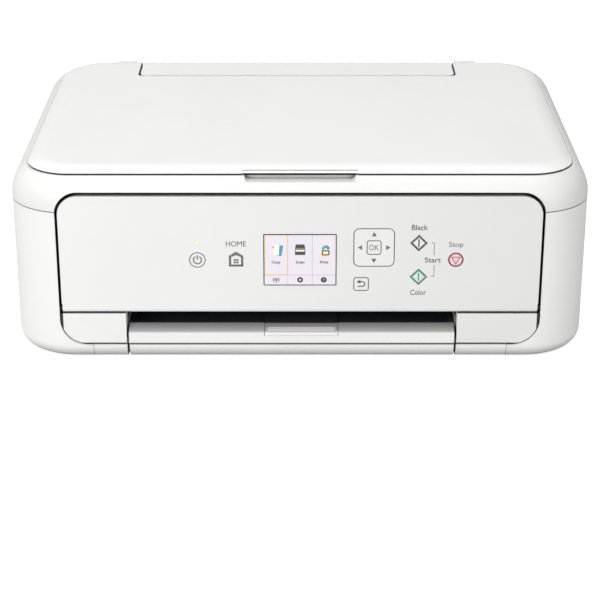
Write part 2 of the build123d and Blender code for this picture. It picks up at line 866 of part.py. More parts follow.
def house_outline(margin):
    """A house: a square below the eaves and a gable above."""
    half = home_size[0] / 2 + margin
    low = -home_size[1] / 2 - margin
    eaves = low + home_eaves + 1.6 * margin
    top = home_size[1] / 2 + 1.2 * margin
    return make_face(Polyline((-half, low), (half, low), (half, eaves), (0, top), (-half, eaves), close=True))


key_shapes = {
    "power_button": ("round", power_centre, power_radius),
    "home_button": ("house", home_centre, home_size),
    "direction_pad": (pad_radius, pad_centre, pad_size),
    "back_button": (small_key_radius, back_centre, back_size),
    "black_button": ("diamond", black_centre, start_half),
    "color_button": ("diamond", color_centre, start_half),
    "stop_button": ("round", stop_centre, stop_radius),
}


def make_key(name):
    """A key: its cap flush with the panel, its flange behind it and its stem."""
    flange_front = plate_back + 0.2
    cap = front_prism(key_sketch(name, 0), (panel_front, flange_front + 0.5))
    flange = front_prism(key_sketch(name, key_flange), (flange_front, flange_front + key_flange_thickness))
    return cap + flange + key_stem(key_shapes[name][1], flange_front)


def key_stem(centre, start):
    """The stem behind a key, as long as the switch behind it allows."""
    return bar_y(centre[0], (start, switch_front - key_travel - seat_gap), centre[1], key_stem_radius)


def make_direction_pad():
    """The square ring of the direction pad with its flange and its lower pins."""
    flange_front = plate_back + pad_tilt_gap
    cap = front_prism(key_sketch("direction_pad", 0), (panel_front, pad_back))
    flange = front_prism(key_sketch("direction_pad", key_flange), (flange_front, pad_back))
    return cap + flange - front_prism(Pos(*pad_centre) * ok_hole(), (-far, far))


def ok_hole():
    """The outline of the hole for the OK key."""
    width = ok_size[0] + 2 * key_hole_gap
    height = ok_size[1] + 2 * key_hole_gap
    return RectangleRounded(width, height, small_key_radius + key_hole_gap)


def make_pad_gimbal():
    """The rocking ring under the direction pad, with a round pin on each side."""
    outer_side = ok_size[0] + gimbal_outer
    inner_side = ok_size[0] + gimbal_inner
    ring = RectangleRounded(outer_side, outer_side, 3) - RectangleRounded(inner_side, inner_side, 2)
    body = front_prism(Pos(*pad_centre) * ring, (gimbal_front, gimbal_front + gimbal_thickness))
    radius = gimbal_thickness / 2
    middle = gimbal_front + radius
    for side in (-1, 1):
        reach = sorted((side * (outer_side / 2 - 1), side * (outer_side / 2 + 0.6)))
        ends_x = [pad_centre[0] + value for value in reach]
        ends_z = [pad_centre[1] + value for value in reach]
        body += bar_x(ends_x, middle, pad_centre[1], radius)
        body += bar_z(pad_centre[0], middle, ends_z, radius)
    return body


def make_ok_button():
    """The OK key inside the direction pad."""
    cap_shape = RectangleRounded(ok_size[0], ok_size[1], small_key_radius)
    flange_shape = RectangleRounded(ok_size[0] + 2 * ok_flange, ok_size[1] + 2 * ok_flange, small_key_radius)
    cap = front_prism(Pos(*pad_centre) * cap_shape, (panel_front, gimbal_front + gimbal_thickness / 2))
    flange = front_prism(Pos(*pad_centre) * flange_shape, (gimbal_front, gimbal_front + gimbal_thickness))
    return cap + flange + key_stem(pad_centre, gimbal_front)


def make_control_board():
    """The board in the panel with one switch behind each key and the lamp."""
    x = (power_centre[0] - board_margin, stop_centre[0] + board_margin)
    body = block(x, (board_front, board_front + board_thickness), control_board_z)
    for name, (kind, centre, size) in key_shapes.items():
        if name != "direction_pad":
            body += switch_at(centre)
    reach = pad_switch_reach
    for dx, dz in ((0, 0), (reach, 0), (-reach, 0), (0, reach), (0, -reach)):
        body += switch_at((pad_centre[0] + dx, pad_centre[1] + dz))
    return body


def switch_at(centre):
    """A small switch on the front of the control board."""
    half = switch_size / 2
    x = widen((centre[0], centre[0]), half)
    return block(x, (switch_front, board_front + 0.1), widen((centre[1], centre[1]), half))


def make_display():
    """The display: a window flush with the panel on its module."""
    glass = Pos(*display_centre) * Rectangle(*display_size)
    module = Rectangle(display_size[0] + 2 * display_border, display_size[1] + 2 * display_border)
    body = front_prism(glass, (panel_front, plate_back + 1))
    return body + front_prism(Pos(*display_centre) * module, (plate_back + seat_gap, board_front - seat_gap))


def make_power_lamp():
    """The light pipe above the power key."""
    return bar_y(lamp_centre[0], (panel_front, board_front - seat_gap), lamp_centre[1], lamp_radius)


def make_panel_back():
    """The plate that closes the back of the front panel."""
    back = panel_back_y - 0.2
    plate = front_prism(panel_outline(panel_rim + 0.2), (back - panel_back_plate, back))
    plate = plate & all_space(low=hinge_z + 0.2)
    for x in (-panel_post_pitch, 0, panel_post_pitch):
        ends = (board_front + board_thickness + shaft_fit, back - 1)
        plate += bar_y(x, ends, control_board_z[1] - 4, panel_post_radius)
    return plate


def make_output_tray():
    """The pull-out tray: a front bar with a slanted crest, a plate and side rims."""
    x = (slot_left + tray_gap, slot_right - tray_gap)
    crest_y = tray_front + tray_slope_depth
    body = side_prism([(tray_front, tray_low), (tray_front, tray_lip - tray_lip_round),
                       (tray_front + tray_lip_round, tray_lip), (crest_y, tray_crest),
                       (tray_bar_back, tray_crest), (tray_bar_back, tray_low)], x)
    y = (tray_bar_back - 1, tray_front + tray_length)
    body += block(x, y, (tray_plate_low, tray_plate_top))
    for edge, side in ((x[0], 1), (x[1], -1)):
        ends = sorted((edge, edge + side * tray_rim_width))
        body += block(ends, y, (tray_plate_low, tray_plate_top + tray_rim_height))
    notch_x = widen((tab_left, tab_right), slide_gap)
    return body - block(notch_x, (-far, tray_bar_back + 1), (tray_plate_top, far))


def make_output_support():
    """The sliding support on the tray with its tab in the tray's crest."""
    low = tray_plate_top + seat_gap
    x = (tab_left, tab_right)
    lip = tray_lip - slide_gap
    crest = tray_crest - slide_gap
    front = tray_front + slide_gap
    tab = side_prism([(front, low), (front, lip - tray_lip_round), (front + tray_lip_round, lip),
                      (tray_front + tray_slope_depth, crest), (tray_bar_back, crest), (tray_bar_back, low)], x)
    plate = block(x, (tray_bar_back - 1, tray_front + support_length), (low, low + support_plate))
    return tab + plate


def make_cassette():
    """The paper cassette: its front is the middle strip under the tray."""
    x = cassette_x
    front = outer & block(x, (-far, front_y + cassette_front_depth), (0, strip_top + 0.2))
    y = (front_y + cassette_front_depth - 1, cassette_back)
    body = block(x, y, (cassette_bottom, cassette_rim))
    inside = block(widen(x, -cassette_wall), widen(y, -cassette_wall), (cassette_bottom + cassette_floor, far))
    return front + (body - inside)


def make_cassette_guide(side):
    """A side guide for the sheets in the cassette."""
    inner_half = (cassette_x[1] - cassette_x[0]) / 2 - cassette_wall
    edge = slot_middle + side * (inner_half - guide_side_gap)
    y = widen((guide_middle, guide_middle), guide_length / 2)
    upright = block(sorted((edge, edge + side * guide_wall)), y, (guide_bottom, cassette_rim - guide_drop))
    foot_x = sorted((edge + side * 0.1, edge - side * guide_foot))
    return upright + block(foot_x, y, (guide_bottom, guide_bottom + guide_foot_thickness))


def make_end_guide():
    """The guide at the sheets' near edge in the cassette."""
    start = front_y + cassette_front_depth + cassette_wall + end_guide_gap
    x = widen((slot_middle, slot_middle), end_guide_width / 2)
    upright = block(x, (start, start + guide_wall), (guide_bottom, cassette_rim - guide_drop))
    foot_x = widen((slot_middle, slot_middle), end_guide_foot_width / 2)
    foot = block(foot_x, (start, start + guide_foot), (guide_bottom, guide_bottom + guide_foot_thickness))
    return upright + foot


def make_chassis():
    """The sheet-metal chassis: two side plates, the carriage rail and the idler pulley's pin."""
    body = block(widen((-chassis_half, chassis_half), -0.5), (rail_y, rail_y + sheet), (rail_low, chassis_top))
    low = floor_top + shaft_fit
    for side in (-1, 1):
        ends = sorted((side * chassis_half, side * (chassis_half - sheet)))
        body += block(ends, (chassis_front, chassis_back), (low, chassis_top))
        foot = sorted((side * chassis_half, side * (chassis_half - chassis_foot[0])))
        for y in (chassis_front, chassis_back - chassis_foot[1]):
            body += block(foot, (y, y + chassis_foot[1]), (low, low + sheet))
    span = widen((-chassis_half, chassis_half), 1)
    for y, z in ((feed_y, roller_height), (eject_y, roller_height), rear_roller_place):
        body -= bar_x(span, y, z, shaft_radius + shaft_fit)
    left = (-chassis_half - 1, -chassis_half + sheet + 1)
    body -= bar_x(left, pinion_place[0], pinion_place[1], shaft_radius + 1)
    body += bar_x((gear_outer, -chassis_half + 0.5), idler_y, roller_height, shaft_radius)
    pin_ends = (rail_y + 0.5, belt_y[1] + 1)
    return body + bar_y(-pulley_half_span, pin_ends, belt_height, pulley_pin_radius)


idler_y = feed_y - gear_module * (feed_teeth + idler_teeth) / 2
eject_y = idler_y - gear_module * (idler_teeth + eject_teeth) / 2
pinion_distance = gear_module * (feed_teeth + pinion_teeth) / 2
pinion_turn = math.radians(pinion_angle)
pinion_place = (feed_y + pinion_distance * math.cos(pinion_turn),
                roller_height + pinion_distance * math.sin(pinion_turn))


def make_gear(teeth, y, z, phase, bore):
    """A spur gear in the plane of the side plate; phase is the angle of one tooth."""
    pitch = gear_module * teeth / 2
    root = pitch - 1.2 * gear_module
    tip = pitch + 0.9 * gear_module
    step = 2 * math.pi / teeth
    points = []
    for index in range(teeth):
        middle = phase + index * step
        for radius, share in ((root, -0.36), (tip, -0.11), (tip, 0.11), (root, 0.36)):
            angle = middle + share * step
            points.append((y + radius * math.cos(angle), z + radius * math.sin(angle)))
    gear = side_prism(points, (gear_outer, gear_inner))
    return gear - bar_x((gear_outer - 1, gear_inner + 1), y, z, bore)


def mesh_phase(phase, teeth, direction, next_teeth):
    """The tooth angle of a gear that meshes with another in a given direction."""
    step = 2 * math.pi / teeth
    offset = ((direction - phase) % step) / step
    next_step = 2 * math.pi / next_teeth
    return direction + math.pi + offset * next_step + next_step / 2


feed_phase = 0.0
idler_phase = mesh_phase(feed_phase, feed_teeth, math.pi, idler_teeth)
eject_phase = mesh_phase(idler_phase, idler_teeth, math.pi, eject_teeth)
pinion_phase = mesh_phase(feed_phase, feed_teeth, pinion_turn, pinion_teeth)


def make_feed_gear():
    """The gear on the feed roller's shaft."""
    return make_gear(feed_teeth, feed_y, roller_height, feed_phase, shaft_radius + shaft_fit)


def make_idler_gear():
    """The gear between the feed gear and the eject gear."""
    return make_gear(idler_teeth, idler_y, roller_height, idler_phase, shaft_radius + shaft_fit)


def make_eject_gear():
    """The gear on the eject roller's shaft."""
    return make_gear(eject_teeth, eject_y, roller_height, eject_phase, shaft_radius + shaft_fit)


def make_pinion():
    """The small gear on the feed motor's shaft."""
    return make_gear(pinion_teeth, pinion_place[0], pinion_place[1], pinion_phase, pinion_bore)


def make_feed_motor():
    """The motor of the feed rollers, on the inside of the left side plate."""
    y, z = pinion_place
    inside = -chassis_half + sheet
    body = bar_x((inside + shaft_fit, inside + motor_length), y, z, motor_radius)
    return body + bar_x((gear_outer, inside + 1), y, z, pinion_bore - shaft_fit)


def make_feed_roller():
    """The main feed roller, with its shaft through both side plates."""
    shaft = bar_x((gear_outer, axle_reach), feed_y, roller_height, shaft_radius)
    inside = chassis_half - sheet - feed_rubber_gap
    return shaft + bar_x((-inside, inside), feed_y, roller_height, feed_radius)


def make_eject_roller():
    """The eject roller: short rubber sleeves on one shaft."""
    body = bar_x((gear_outer, axle_reach), eject_y, roller_height, shaft_radius)
    first = slot_middle - eject_rubber_pitch * (eject_rubber_count - 1) / 2
    for index in range(eject_rubber_count):
        x = first + index * eject_rubber_pitch
        body += bar_x(widen((x, x), eject_rubber_length / 2), eject_y, roller_height, eject_radius)
    return body


def make_rear_feed_roller():
    """The rear feed roller: two rubber tyres on a shaft before the chute's foot."""
    y, z = rear_roller_place
    body = bar_x((-axle_reach, axle_reach), y, z, shaft_radius)
    for side in (-1, 1):
        x = slot_middle + side * rear_roller_offset
        body += bar_x(widen((x, x), rear_roller_length / 2), y, z, rear_roller_radius)
    return body


def make_platen():
    """The ribbed print platen between the rollers."""
    left = -chassis_half + sheet + 0.1
    y = (eject_y + eject_radius + roller_gap, feed_y - feed_radius - roller_gap)
    plate_top = platen_top - platen_rib
    body = block((left, platen_right), y, (platen_low, plate_top))
    pitch = (slot_right - slot_left) / (platen_rib_count + 1)
    for index in range(platen_rib_count):
        x = slot_left + (index + 1) * pitch
        if x + platen_rib_width / 2 < platen_right:
            body += block(widen((x, x), platen_rib_width / 2), y, (plate_top - 0.5, platen_top))
    edge = slot_left + shell_gap - tunnel_wall
    return body + block((edge, edge + tunnel_wall), y, (tunnel_top + shaft_fit, platen_low + 1))


def make_purge_unit():
    """The cleaning unit under the carriage's parking place."""
    y = widen((eject_y + eject_radius, feed_y - feed_radius), -2 * roller_gap)
    middle = (y[0] + y[1]) / 2
    block_top = purge_top - purge_cap_height + 1
    leg_left = slot_right - shell_gap + tunnel_wall + 2
    body = block((platen_right + purge_gap, purge_right), y, (tunnel_top + 1, block_top))
    body += block((leg_left, purge_right), y, (floor_top + shaft_fit, tunnel_top + 2))
    cap_y = widen((middle, middle), (y[1] - y[0]) / 2 - 5)
    for x in cartridge_middles():
        cap_x = widen((x, x), purge_cap_size / 2)
        cap = block(cap_x, cap_y, (block_top - 1, purge_top))
        well = block(widen(cap_x, -purge_cap_wall), widen(cap_y, -purge_cap_wall), (purge_top - 2, far))
        body += cap - well
    return body


def cartridge_middles():
    """X of the middles of the colour and black cartridges."""
    step = (cartridge_width + 2 * cartridge_gap + carriage_wall) / 2
    return (carriage_middle - step, carriage_middle + step)


def make_carriage():
    """The print carriage: two bays open to the front, hung on the rail behind."""
    x = widen((carriage_middle, carriage_middle), carriage_width / 2)
    rail_back = rail_y + sheet
    body = block(x, (carriage_front, rail_y - slide_gap), (carriage_low, carriage_high))
    bay_y = (carriage_front - 1, carriage_front + cartridge_depth + cartridge_gap)
    nozzle_y = [carriage_front + value for value in nozzle_depth]
    for middle in cartridge_middles():
        bay_x = widen((middle, middle), cartridge_width / 2 + cartridge_gap)
        body -= block(bay_x, bay_y, (carriage_low + carriage_wall, far))
        body -= block(widen(bay_x, -nozzle_margin), nozzle_y, (carriage_low - 1, carriage_low + 2 * carriage_wall))
    hook_x = widen((carriage_middle, carriage_middle), hook_half)
    hook_top = chassis_top + hook_thickness
    clip_low = belt_height + pulley_radius + belt_thickness + 2 * slide_gap
    body += block(hook_x, (rail_y - hook_depth, rail_y - slide_gap), (carriage_high - 4, hook_top))
    body += block(hook_x, (rail_y - hook_depth, rail_back + hook_thickness), (chassis_top + slide_gap, hook_top))
    body += block(hook_x, (rail_back + slide_gap, rail_back + hook_thickness), (clip_low, hook_top))
    y, z = latch_pivot
    for middle in cartridge_middles():
        for side in (-1, 1):
            post = middle + side * (latch_width + latch_post + 0.8) / 2
            post_x = widen((post, post), latch_post / 2)
            body += block(post_x, (y - 3, bay_y[1] + 2), (cartridge_high + slide_gap, z + latch_post))
        body -= bar_x(widen((middle, middle), latch_width / 2 + 2), y, z, latch_pin_radius + shaft_fit)
    return body


def make_cartridge(middle):
    """An ink cartridge with a grip at its front."""
    x = widen((middle, middle), cartridge_width / 2)
    y = (carriage_front, carriage_front + cartridge_depth)
    body = block(x, y, (cartridge_low, cartridge_high))
    grip_y = (y[0] - grip_depth, y[0] + 1)
    return body + block(widen(x, -grip_inset), grip_y, (cartridge_high - grip_height, cartridge_high))


def make_latch(middle):
    """The lever over a cartridge, on a pin in the carriage."""
    y, z = latch_pivot
    x = widen((middle, middle), latch_width / 2)
    tip = y - latch_length
    body = block(x, (tip, y), widen((z, z), latch_thickness / 2))
    body += bar_x(x, y, z, latch_hub_radius)
    body += block(widen(x, -latch_tab_inset), (tip - 4, tip + 1), (z - 0.5, z + 3.5))
    return body + bar_x(widen(x, 1.4), y, z, latch_pin_radius)

def make_belt():
    """The toothed belt's loop, drawn as a plain band around both pulleys."""
    inside = pulley_radius + slide_gap
    outer_loop = SlotCenterToCenter(2 * pulley_half_span, 2 * (inside + belt_thickness))
    inner_loop = SlotCenterToCenter(2 * pulley_half_span, 2 * inside)
    return front_prism(Pos(0, belt_height) * (outer_loop - inner_loop), belt_y)


def make_pulley(side):
    """A belt pulley with the bore for its pin."""
    x = side * pulley_half_span
    body = bar_y(x, belt_y, belt_height, pulley_radius)
    return body - bar_y(x, widen(belt_y, 1), belt_height, pulley_pin_radius + shaft_fit)


def make_carriage_motor():
    """The carriage motor behind the rail, its shaft through the drive pulley."""
    x = pulley_half_span
    start = belt_y[1] + 0.5
    body = bar_y(x, (start, start + carriage_motor_length), belt_height, carriage_motor_radius)
    body += bar_y(x, (rail_y + sheet + shaft_fit, start + 1), belt_height, pulley_pin_radius)
    low = belt_height - carriage_motor_radius
    bracket_x = (x - motor_bracket[0], chassis_half - sheet - seat_gap)
    bracket_y = (start + 2, start + 2 + motor_bracket[1])
    return body + block(bracket_x, bracket_y, (low, low + motor_bracket[2]))


def make_power_supply():
    """The power supply with a two-pin mains inlet in the back wall."""
    body = block(supply_x, supply_y, (floor_top + shaft_fit, supply_height))
    collar_x = widen((inlet_x, inlet_x), inlet_size[0] / 2 - 0.1)
    collar_z = widen((inlet_height, inlet_height), inlet_size[1] / 2 - 0.1)
    body += block(collar_x, (supply_y[1] - 3, back_y - 0.4), collar_z)
    mouth = RectangleRounded(inlet_size[0] - inlet_corner, inlet_size[1] - inlet_corner, inlet_corner)
    floor_y = back_y - inlet_depth
    body -= front_prism(Pos(inlet_x, inlet_height) * mouth, (floor_y, back_y + 1))
    for side in (-1, 1):
        x = inlet_x + side * inlet_pin_half_pitch
        body += bar_y(x, (floor_y - 1, back_y - inlet_pin_recess), inlet_height, inlet_pin_radius)
    return body


def make_main_board():
    """The main board on its posts, with the data port at the back wall."""
    top = board_height + board_thickness
    board_back = main_board_y[1]
    body = block(main_board_x, main_board_y, (board_height, top))
    chip_x = main_board_x[0] + chip_inset[0]
    chip_y = main_board_y[0] + chip_inset[1]
    body += block((chip_x, chip_x + chip_size[0]), (chip_y, chip_y + chip_size[1]), (top - 0.1, top + chip_size[2]))
    part_x = main_board_x[0] + capacitor_inset[0]
    part_y = main_board_y[0] + capacitor_inset[1]
    body += block((part_x, part_x + capacitor_size[0]), (part_y, part_y + capacitor_size[1]),
                  (top - 0.1, top + capacitor_size[2]))
    x = widen((port_x, port_x), port_size[0] / 2)
    z = (top - 0.1, top + port_size[1])
    port = block(x, (board_back - port_length, back_y - 1.2), z)
    port -= block(widen(x, -port_wall), (board_back - 6, far), (top + port_wall, z[1] - port_wall))
    return body + port


nodes = {
    "main_case": make_main_case(),
    "bottom_case": make_bottom_case(),
    "front_trim_left": make_trim(-1),
    "front_trim_right": make_trim(1),
    "inner_frame": make_inner_frame(),
    "feet": make_feet(),
    "scanner_housing": make_scanner_housing(),
    "scanner_base": make_scanner_base(),
    "platen_glass": make_glass(),
    "scanner_rod": make_scanner_rod(),
    "scanner_carriage": make_scanner_carriage(),
    "document_cover": make_document_cover(),
    "document_pad": make_document_pad(),
    "rear_tray_cover": make_rear_flap(),
    "rear_tray": make_rear_tray(),
    "rear_guide_left": make_rear_guide(-1),
    "rear_guide_right": make_rear_guide(1),
    "paper_support": make_paper_support(),
    "front_panel": make_front_panel(),
    "panel_back": make_panel_back(),
    "display": make_display(),
    "control_board": make_control_board(),
    "power_lamp": make_power_lamp(),
    "power_button": make_key("power_button"),
    "home_button": make_key("home_button"),
    "ok_button": make_ok_button(),
    "back_button": make_key("back_button"),
    "black_button": make_key("black_button"),
    "color_button": make_key("color_button"),
    "stop_button": make_key("stop_button"),
    "direction_pad": make_direction_pad(),
    "pad_gimbal": make_pad_gimbal(),
    "output_tray": make_output_tray(),
    "output_support": make_output_support(),
    "cassette": make_cassette(),
    "cassette_guide_left": make_cassette_guide(-1),
    "cassette_guide_right": make_cassette_guide(1),
    "cassette_end_guide": make_end_guide(),
    "chassis": make_chassis(),
    "carriage": make_carriage(),
    "color_cartridge": make_cartridge(cartridge_middles()[0]),
    "black_cartridge": make_cartridge(cartridge_middles()[1]),
    "color_latch": make_latch(cartridge_middles()[0]),
    "black_latch": make_latch(cartridge_middles()[1]),
    "carriage_belt": make_belt(),
    "drive_pulley": make_pulley(1),
    "idler_pulley": make_pulley(-1),
    "carriage_motor": make_carriage_motor(),
    "feed_roller": make_feed_roller(),
    "eject_roller": make_eject_roller(),
    "feed_gear": make_feed_gear(),
    "idler_gear": make_idler_gear(),
    "eject_gear": make_eject_gear(),
    "motor_pinion": make_pinion(),
    "feed_motor": make_feed_motor(),
    "rear_feed_roller": make_rear_feed_roller(),
    "print_platen": make_platen(),
    "purge_unit": make_purge_unit(),
    "power_supply": make_power_supply(),
    "main_board": make_main_board(),
}

os.makedirs("parts", exist_ok=True)
for name, solid in nodes.items():
    export_step(solid, f"parts/{name}.step")
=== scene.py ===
import math

import bpy
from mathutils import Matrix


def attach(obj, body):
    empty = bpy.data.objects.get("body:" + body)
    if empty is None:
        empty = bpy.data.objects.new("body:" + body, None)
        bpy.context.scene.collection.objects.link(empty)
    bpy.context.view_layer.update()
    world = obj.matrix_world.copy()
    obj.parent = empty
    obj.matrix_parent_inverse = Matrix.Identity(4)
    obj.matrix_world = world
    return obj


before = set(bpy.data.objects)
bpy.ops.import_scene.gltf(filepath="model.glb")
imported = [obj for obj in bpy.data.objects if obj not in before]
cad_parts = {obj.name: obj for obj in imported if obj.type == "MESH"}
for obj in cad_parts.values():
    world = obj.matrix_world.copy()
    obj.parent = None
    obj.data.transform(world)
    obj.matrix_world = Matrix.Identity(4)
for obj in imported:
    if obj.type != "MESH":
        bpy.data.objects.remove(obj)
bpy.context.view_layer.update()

# Lengths are millimetres here and become metres when a shape is added.
MM = 0.001

# Heights and depths that the marks are laid on
panel_face = -155.5
ink_height = 0.05
key_line_width = 0.2
screen_sheet = 0.12
screen_print = 0.06

# Places on the front panel, as (x, z)
pad_middle = (53.65, 90.5)
power_middle = (-74.5, 80.8)
home_middle = (-46.4, 81.5)
back_middle = (44.6, 61.9)
black_middle = (86.05, 94.0)
color_middle = (86.35, 67.6)
stop_middle = (113.1, 81.0)
screen_middle = (0.0, 80.9)
screen_size = (52.5, 39.5)
screen_columns = (-8.9, 8.9)
screen_row = 69.05

# How near a corner or an edge lies to a line that it counts as on, in millimetres
near = 0.05
near_middle = 0.1

# The slope of the output tray's crest, and the bar that stands on its tab
crest_slope = math.radians(25.4)
grip_middle = (1.0, -153.55, 24.78)
grip_size = (51.0, 4.4)
grip_corner = 2.15
grip_height = 0.6
grip_crown = 0.25
grip_crown_edge = 0.4

# Numbers of the sockets that share their name with another socket of the same node
vector_from_min = 7
vector_from_max = 8
mix_first_color = 6
mix_second_color = 7
mix_color = 2


# Shaping


def drop_selection():
    """Leaves nothing selected, because the loaded parts arrive selected."""
    bpy.ops.object.select_all(action="DESELECT")


def in_place(x, z, y=panel_face):
    """A place in front of the panel, in metres."""
    return (x * MM, y * MM, z * MM)


def settle():
    """Moves the new object's place, turn and scale into its mesh."""
    bpy.ops.object.transform_apply(location=True, rotation=True, scale=True)
    return bpy.context.object


def rounded_start(sides, middle, radius, turn=0.0, face=panel_face):
    """A flat filled shape with that many sides, looking forwards."""
    drop_selection()
    bpy.ops.mesh.primitive_circle_add(
        vertices=sides,
        radius=radius * MM,
        fill_type="NGON",
        location=in_place(*middle, face),
        rotation=(math.radians(90), math.radians(turn), 0),
    )
    return settle()


def square_start(middle, size, turn=0.0, face=panel_face):
    """A flat rectangle looking forwards."""
    drop_selection()
    bpy.ops.mesh.primitive_plane_add(
        size=1,
        location=in_place(*middle, face),
        rotation=(math.radians(90), math.radians(turn), 0),
    )
    bpy.context.object.scale = (size[0] * MM, size[1] * MM, 1)
    return settle()


def pick(piece, kind, wanted):
    """Opens a piece for editing with just the wanted corners, edges or faces selected."""
    bpy.context.tool_settings.mesh_select_mode = (kind == "VERT", kind == "EDGE", kind == "FACE")
    mesh = piece.data
    for item in [*mesh.vertices, *mesh.edges, *mesh.polygons]:
        item.select = False
    if kind == "VERT":
        for corner in mesh.vertices:
            corner.select = wanted(corner.co / MM)
    elif kind == "EDGE":
        for edge in mesh.edges:
            ends = [mesh.vertices[i].co / MM for i in edge.vertices]
            edge.select = wanted((ends[0] + ends[1]) / 2)
    else:
        for face in mesh.polygons:
            face.select = wanted(face.center / MM)
    bpy.ops.object.mode_set(mode="EDIT")


def leave():
    """Ends the editing of a piece."""
    bpy.ops.object.mode_set(mode="OBJECT")


def everything(place):
    """The test that every corner, edge and face passes."""
    return True


def round_corners(piece, radius, segments=5):
    """Rounds the corners of a flat shape."""
    pick(piece, "VERT", everything)
    bpy.ops.mesh.bevel(offset=radius * MM, segments=segments, affect="VERTICES")
    leave()


def cut_middle(piece, band):
    """Leaves only a band of that width along a flat shape's rim."""
    pick(piece, "FACE", everything)
    bpy.ops.mesh.inset(thickness=band * MM, depth=0)
    bpy.ops.mesh.delete(type="FACE")
    leave()


def cut_away(piece, unwanted):
    """Deletes the faces that pass the test."""
    pick(piece, "FACE", unwanted)
    bpy.ops.mesh.delete(type="FACE")
    leave()


def draw_out(piece, ends, move):
    """Extends a flat shape from the edges that pass the test."""
    pick(piece, "EDGE", ends)
    bpy.ops.mesh.extrude_region_move(
        TRANSFORM_OT_translate={"value": (move[0] * MM, 0, move[1] * MM)}
    )
    leave()


def shift_corners(piece, wanted, move):
    """Moves the corners that pass the test."""
    pick(piece, "VERT", wanted)
    bpy.ops.transform.translate(value=(move[0] * MM, 0, move[1] * MM))
    leave()


def thicken(piece, height):
    """Gives a flat shape its height towards the front and closes it."""
    pick(piece, "FACE", everything)
    bpy.ops.mesh.extrude_region_move(TRANSFORM_OT_translate={"value": (0, -height * MM, 0)})
    bpy.ops.mesh.select_all(action="SELECT")
    bpy.ops.mesh.remove_doubles(threshold=1e-7)
    bpy.ops.mesh.normals_make_consistent(inside=False)
    leave()
    return piece


def join(pieces):
    """Makes one piece of several, each keeping its own finish."""
    drop_selection()
    for piece in pieces:
        piece.select_set(True)
    bpy.context.view_layer.objects.active = pieces[0]
    bpy.ops.object.join()
    return bpy.context.object


def coat(piece, finish):
    """Gives a piece one finish all over."""
    piece.data.materials.clear()
    piece.data.materials.append(finish)
    return piece


def name_piece(piece, name, body):
    """Names a finished piece and makes it move with its body."""
    piece.name = name
    piece.data.name = name
    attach(piece, body)
    return piece


# Node groups that several finishes share


def node(tree, kind, inputs=None, **settings):
    """A new node with its settings and its unlinked inputs."""
    made = tree.nodes.new(kind)
    for key, value in settings.items():
        setattr(made, key, value)
    for key, value in (inputs or {}).items():
        made.inputs[key].default_value = value
    return made


def new_group(name, inputs, outputs):
    """An empty node group with its sockets: (name, kind, value) in, (name, kind) out."""
    tree = bpy.data.node_groups.new(name, "ShaderNodeTree")
    for label, kind, value in inputs:
        socket = tree.interface.new_socket(label, in_out="INPUT", socket_type=kind)
        socket.default_value = value
    for label, kind in outputs:
        tree.interface.new_socket(label, in_out="OUTPUT", socket_type=kind)
    return tree, tree.nodes.new("NodeGroupInput"), tree.nodes.new("NodeGroupOutput")


def make_moulded_skin():
    """The fine grain, slow waviness and uneven tone of an injection-moulded face."""
    tree, given, result = new_group(
        "moulded_skin",
        [("Grain Scale", "NodeSocketFloat", 2600.0), ("Wave Scale", "NodeSocketFloat", 60.0)],
        [("Height", "NodeSocketFloat"), ("Tone", "NodeSocketFloat"), ("Gloss", "NodeSocketFloat")],
    )
    where = node(tree, "ShaderNodeTexCoord")
    grain = node(tree, "ShaderNodeTexNoise", {"Detail": 3.0, "Roughness": 0.6})
    wave = node(tree, "ShaderNodeTexNoise", {"Detail": 2.0, "Roughness": 0.5})
    cloud = node(tree, "ShaderNodeTexNoise", {"Scale": 11.0, "Detail": 3.0, "Roughness": 0.55})
    blend = node(tree, "ShaderNodeMath", {1: 3.0}, operation="MULTIPLY_ADD")
    link = tree.links.new
    for texture in (grain, wave, cloud):
        link(where.outputs["Object"], texture.inputs["Vector"])
    link(given.outputs["Grain Scale"], grain.inputs["Scale"])
    link(given.outputs["Wave Scale"], wave.inputs["Scale"])
    link(wave.outputs["Fac"], blend.inputs[0])
    link(grain.outputs["Fac"], blend.inputs[2])
    link(blend.outputs[0], result.inputs["Height"])
    link(cloud.outputs["Fac"], result.inputs["Tone"])
    link(wave.outputs["Fac"], result.inputs["Gloss"])
    return tree


def make_soft_edges():
    """Rounds off the light on sharp edges and marks them for wear."""
    tree, given, result = new_group(
        "soft_edges",
        [("Radius", "NodeSocketFloat", 0.0004), ("Wear", "NodeSocketFloat", 0.5)],
        [("Normal", "NodeSocketVector"), ("Worn", "NodeSocketFloat")],
    )
    rounded = node(tree, "ShaderNodeBevel", samples=4)
    flat = node(tree, "ShaderNodeNewGeometry")
    meet = node(tree, "ShaderNodeVectorMath", operation="DOT_PRODUCT")
    depart = node(tree, "ShaderNodeMath", {0: 1.0}, operation="SUBTRACT")
    patchy = node(tree, "ShaderNodeTexNoise", {"Scale": 160.0, "Detail": 4.0, "Roughness": 0.7})
    where = node(tree, "ShaderNodeTexCoord")
    broken = node(tree, "ShaderNodeMath", operation="MULTIPLY")
    amount = node(tree, "ShaderNodeMath", operation="MULTIPLY", use_clamp=True)
    link = tree.links.new
    link(given.outputs["Radius"], rounded.inputs["Radius"])
    link(rounded.outputs["Normal"], meet.inputs[0])
    link(flat.outputs["Normal"], meet.inputs[1])
    link(meet.outputs["Value"], depart.inputs[1])
    link(where.outputs["Object"], patchy.inputs["Vector"])
    link(depart.outputs[0], broken.inputs[0])
    link(patchy.outputs["Fac"], broken.inputs[1])
    link(broken.outputs[0], amount.inputs[0])
    link(given.outputs["Wear"], amount.inputs[1])
    link(rounded.outputs["Normal"], result.inputs["Normal"])
    link(amount.outputs[0], result.inputs["Worn"])
    return tree


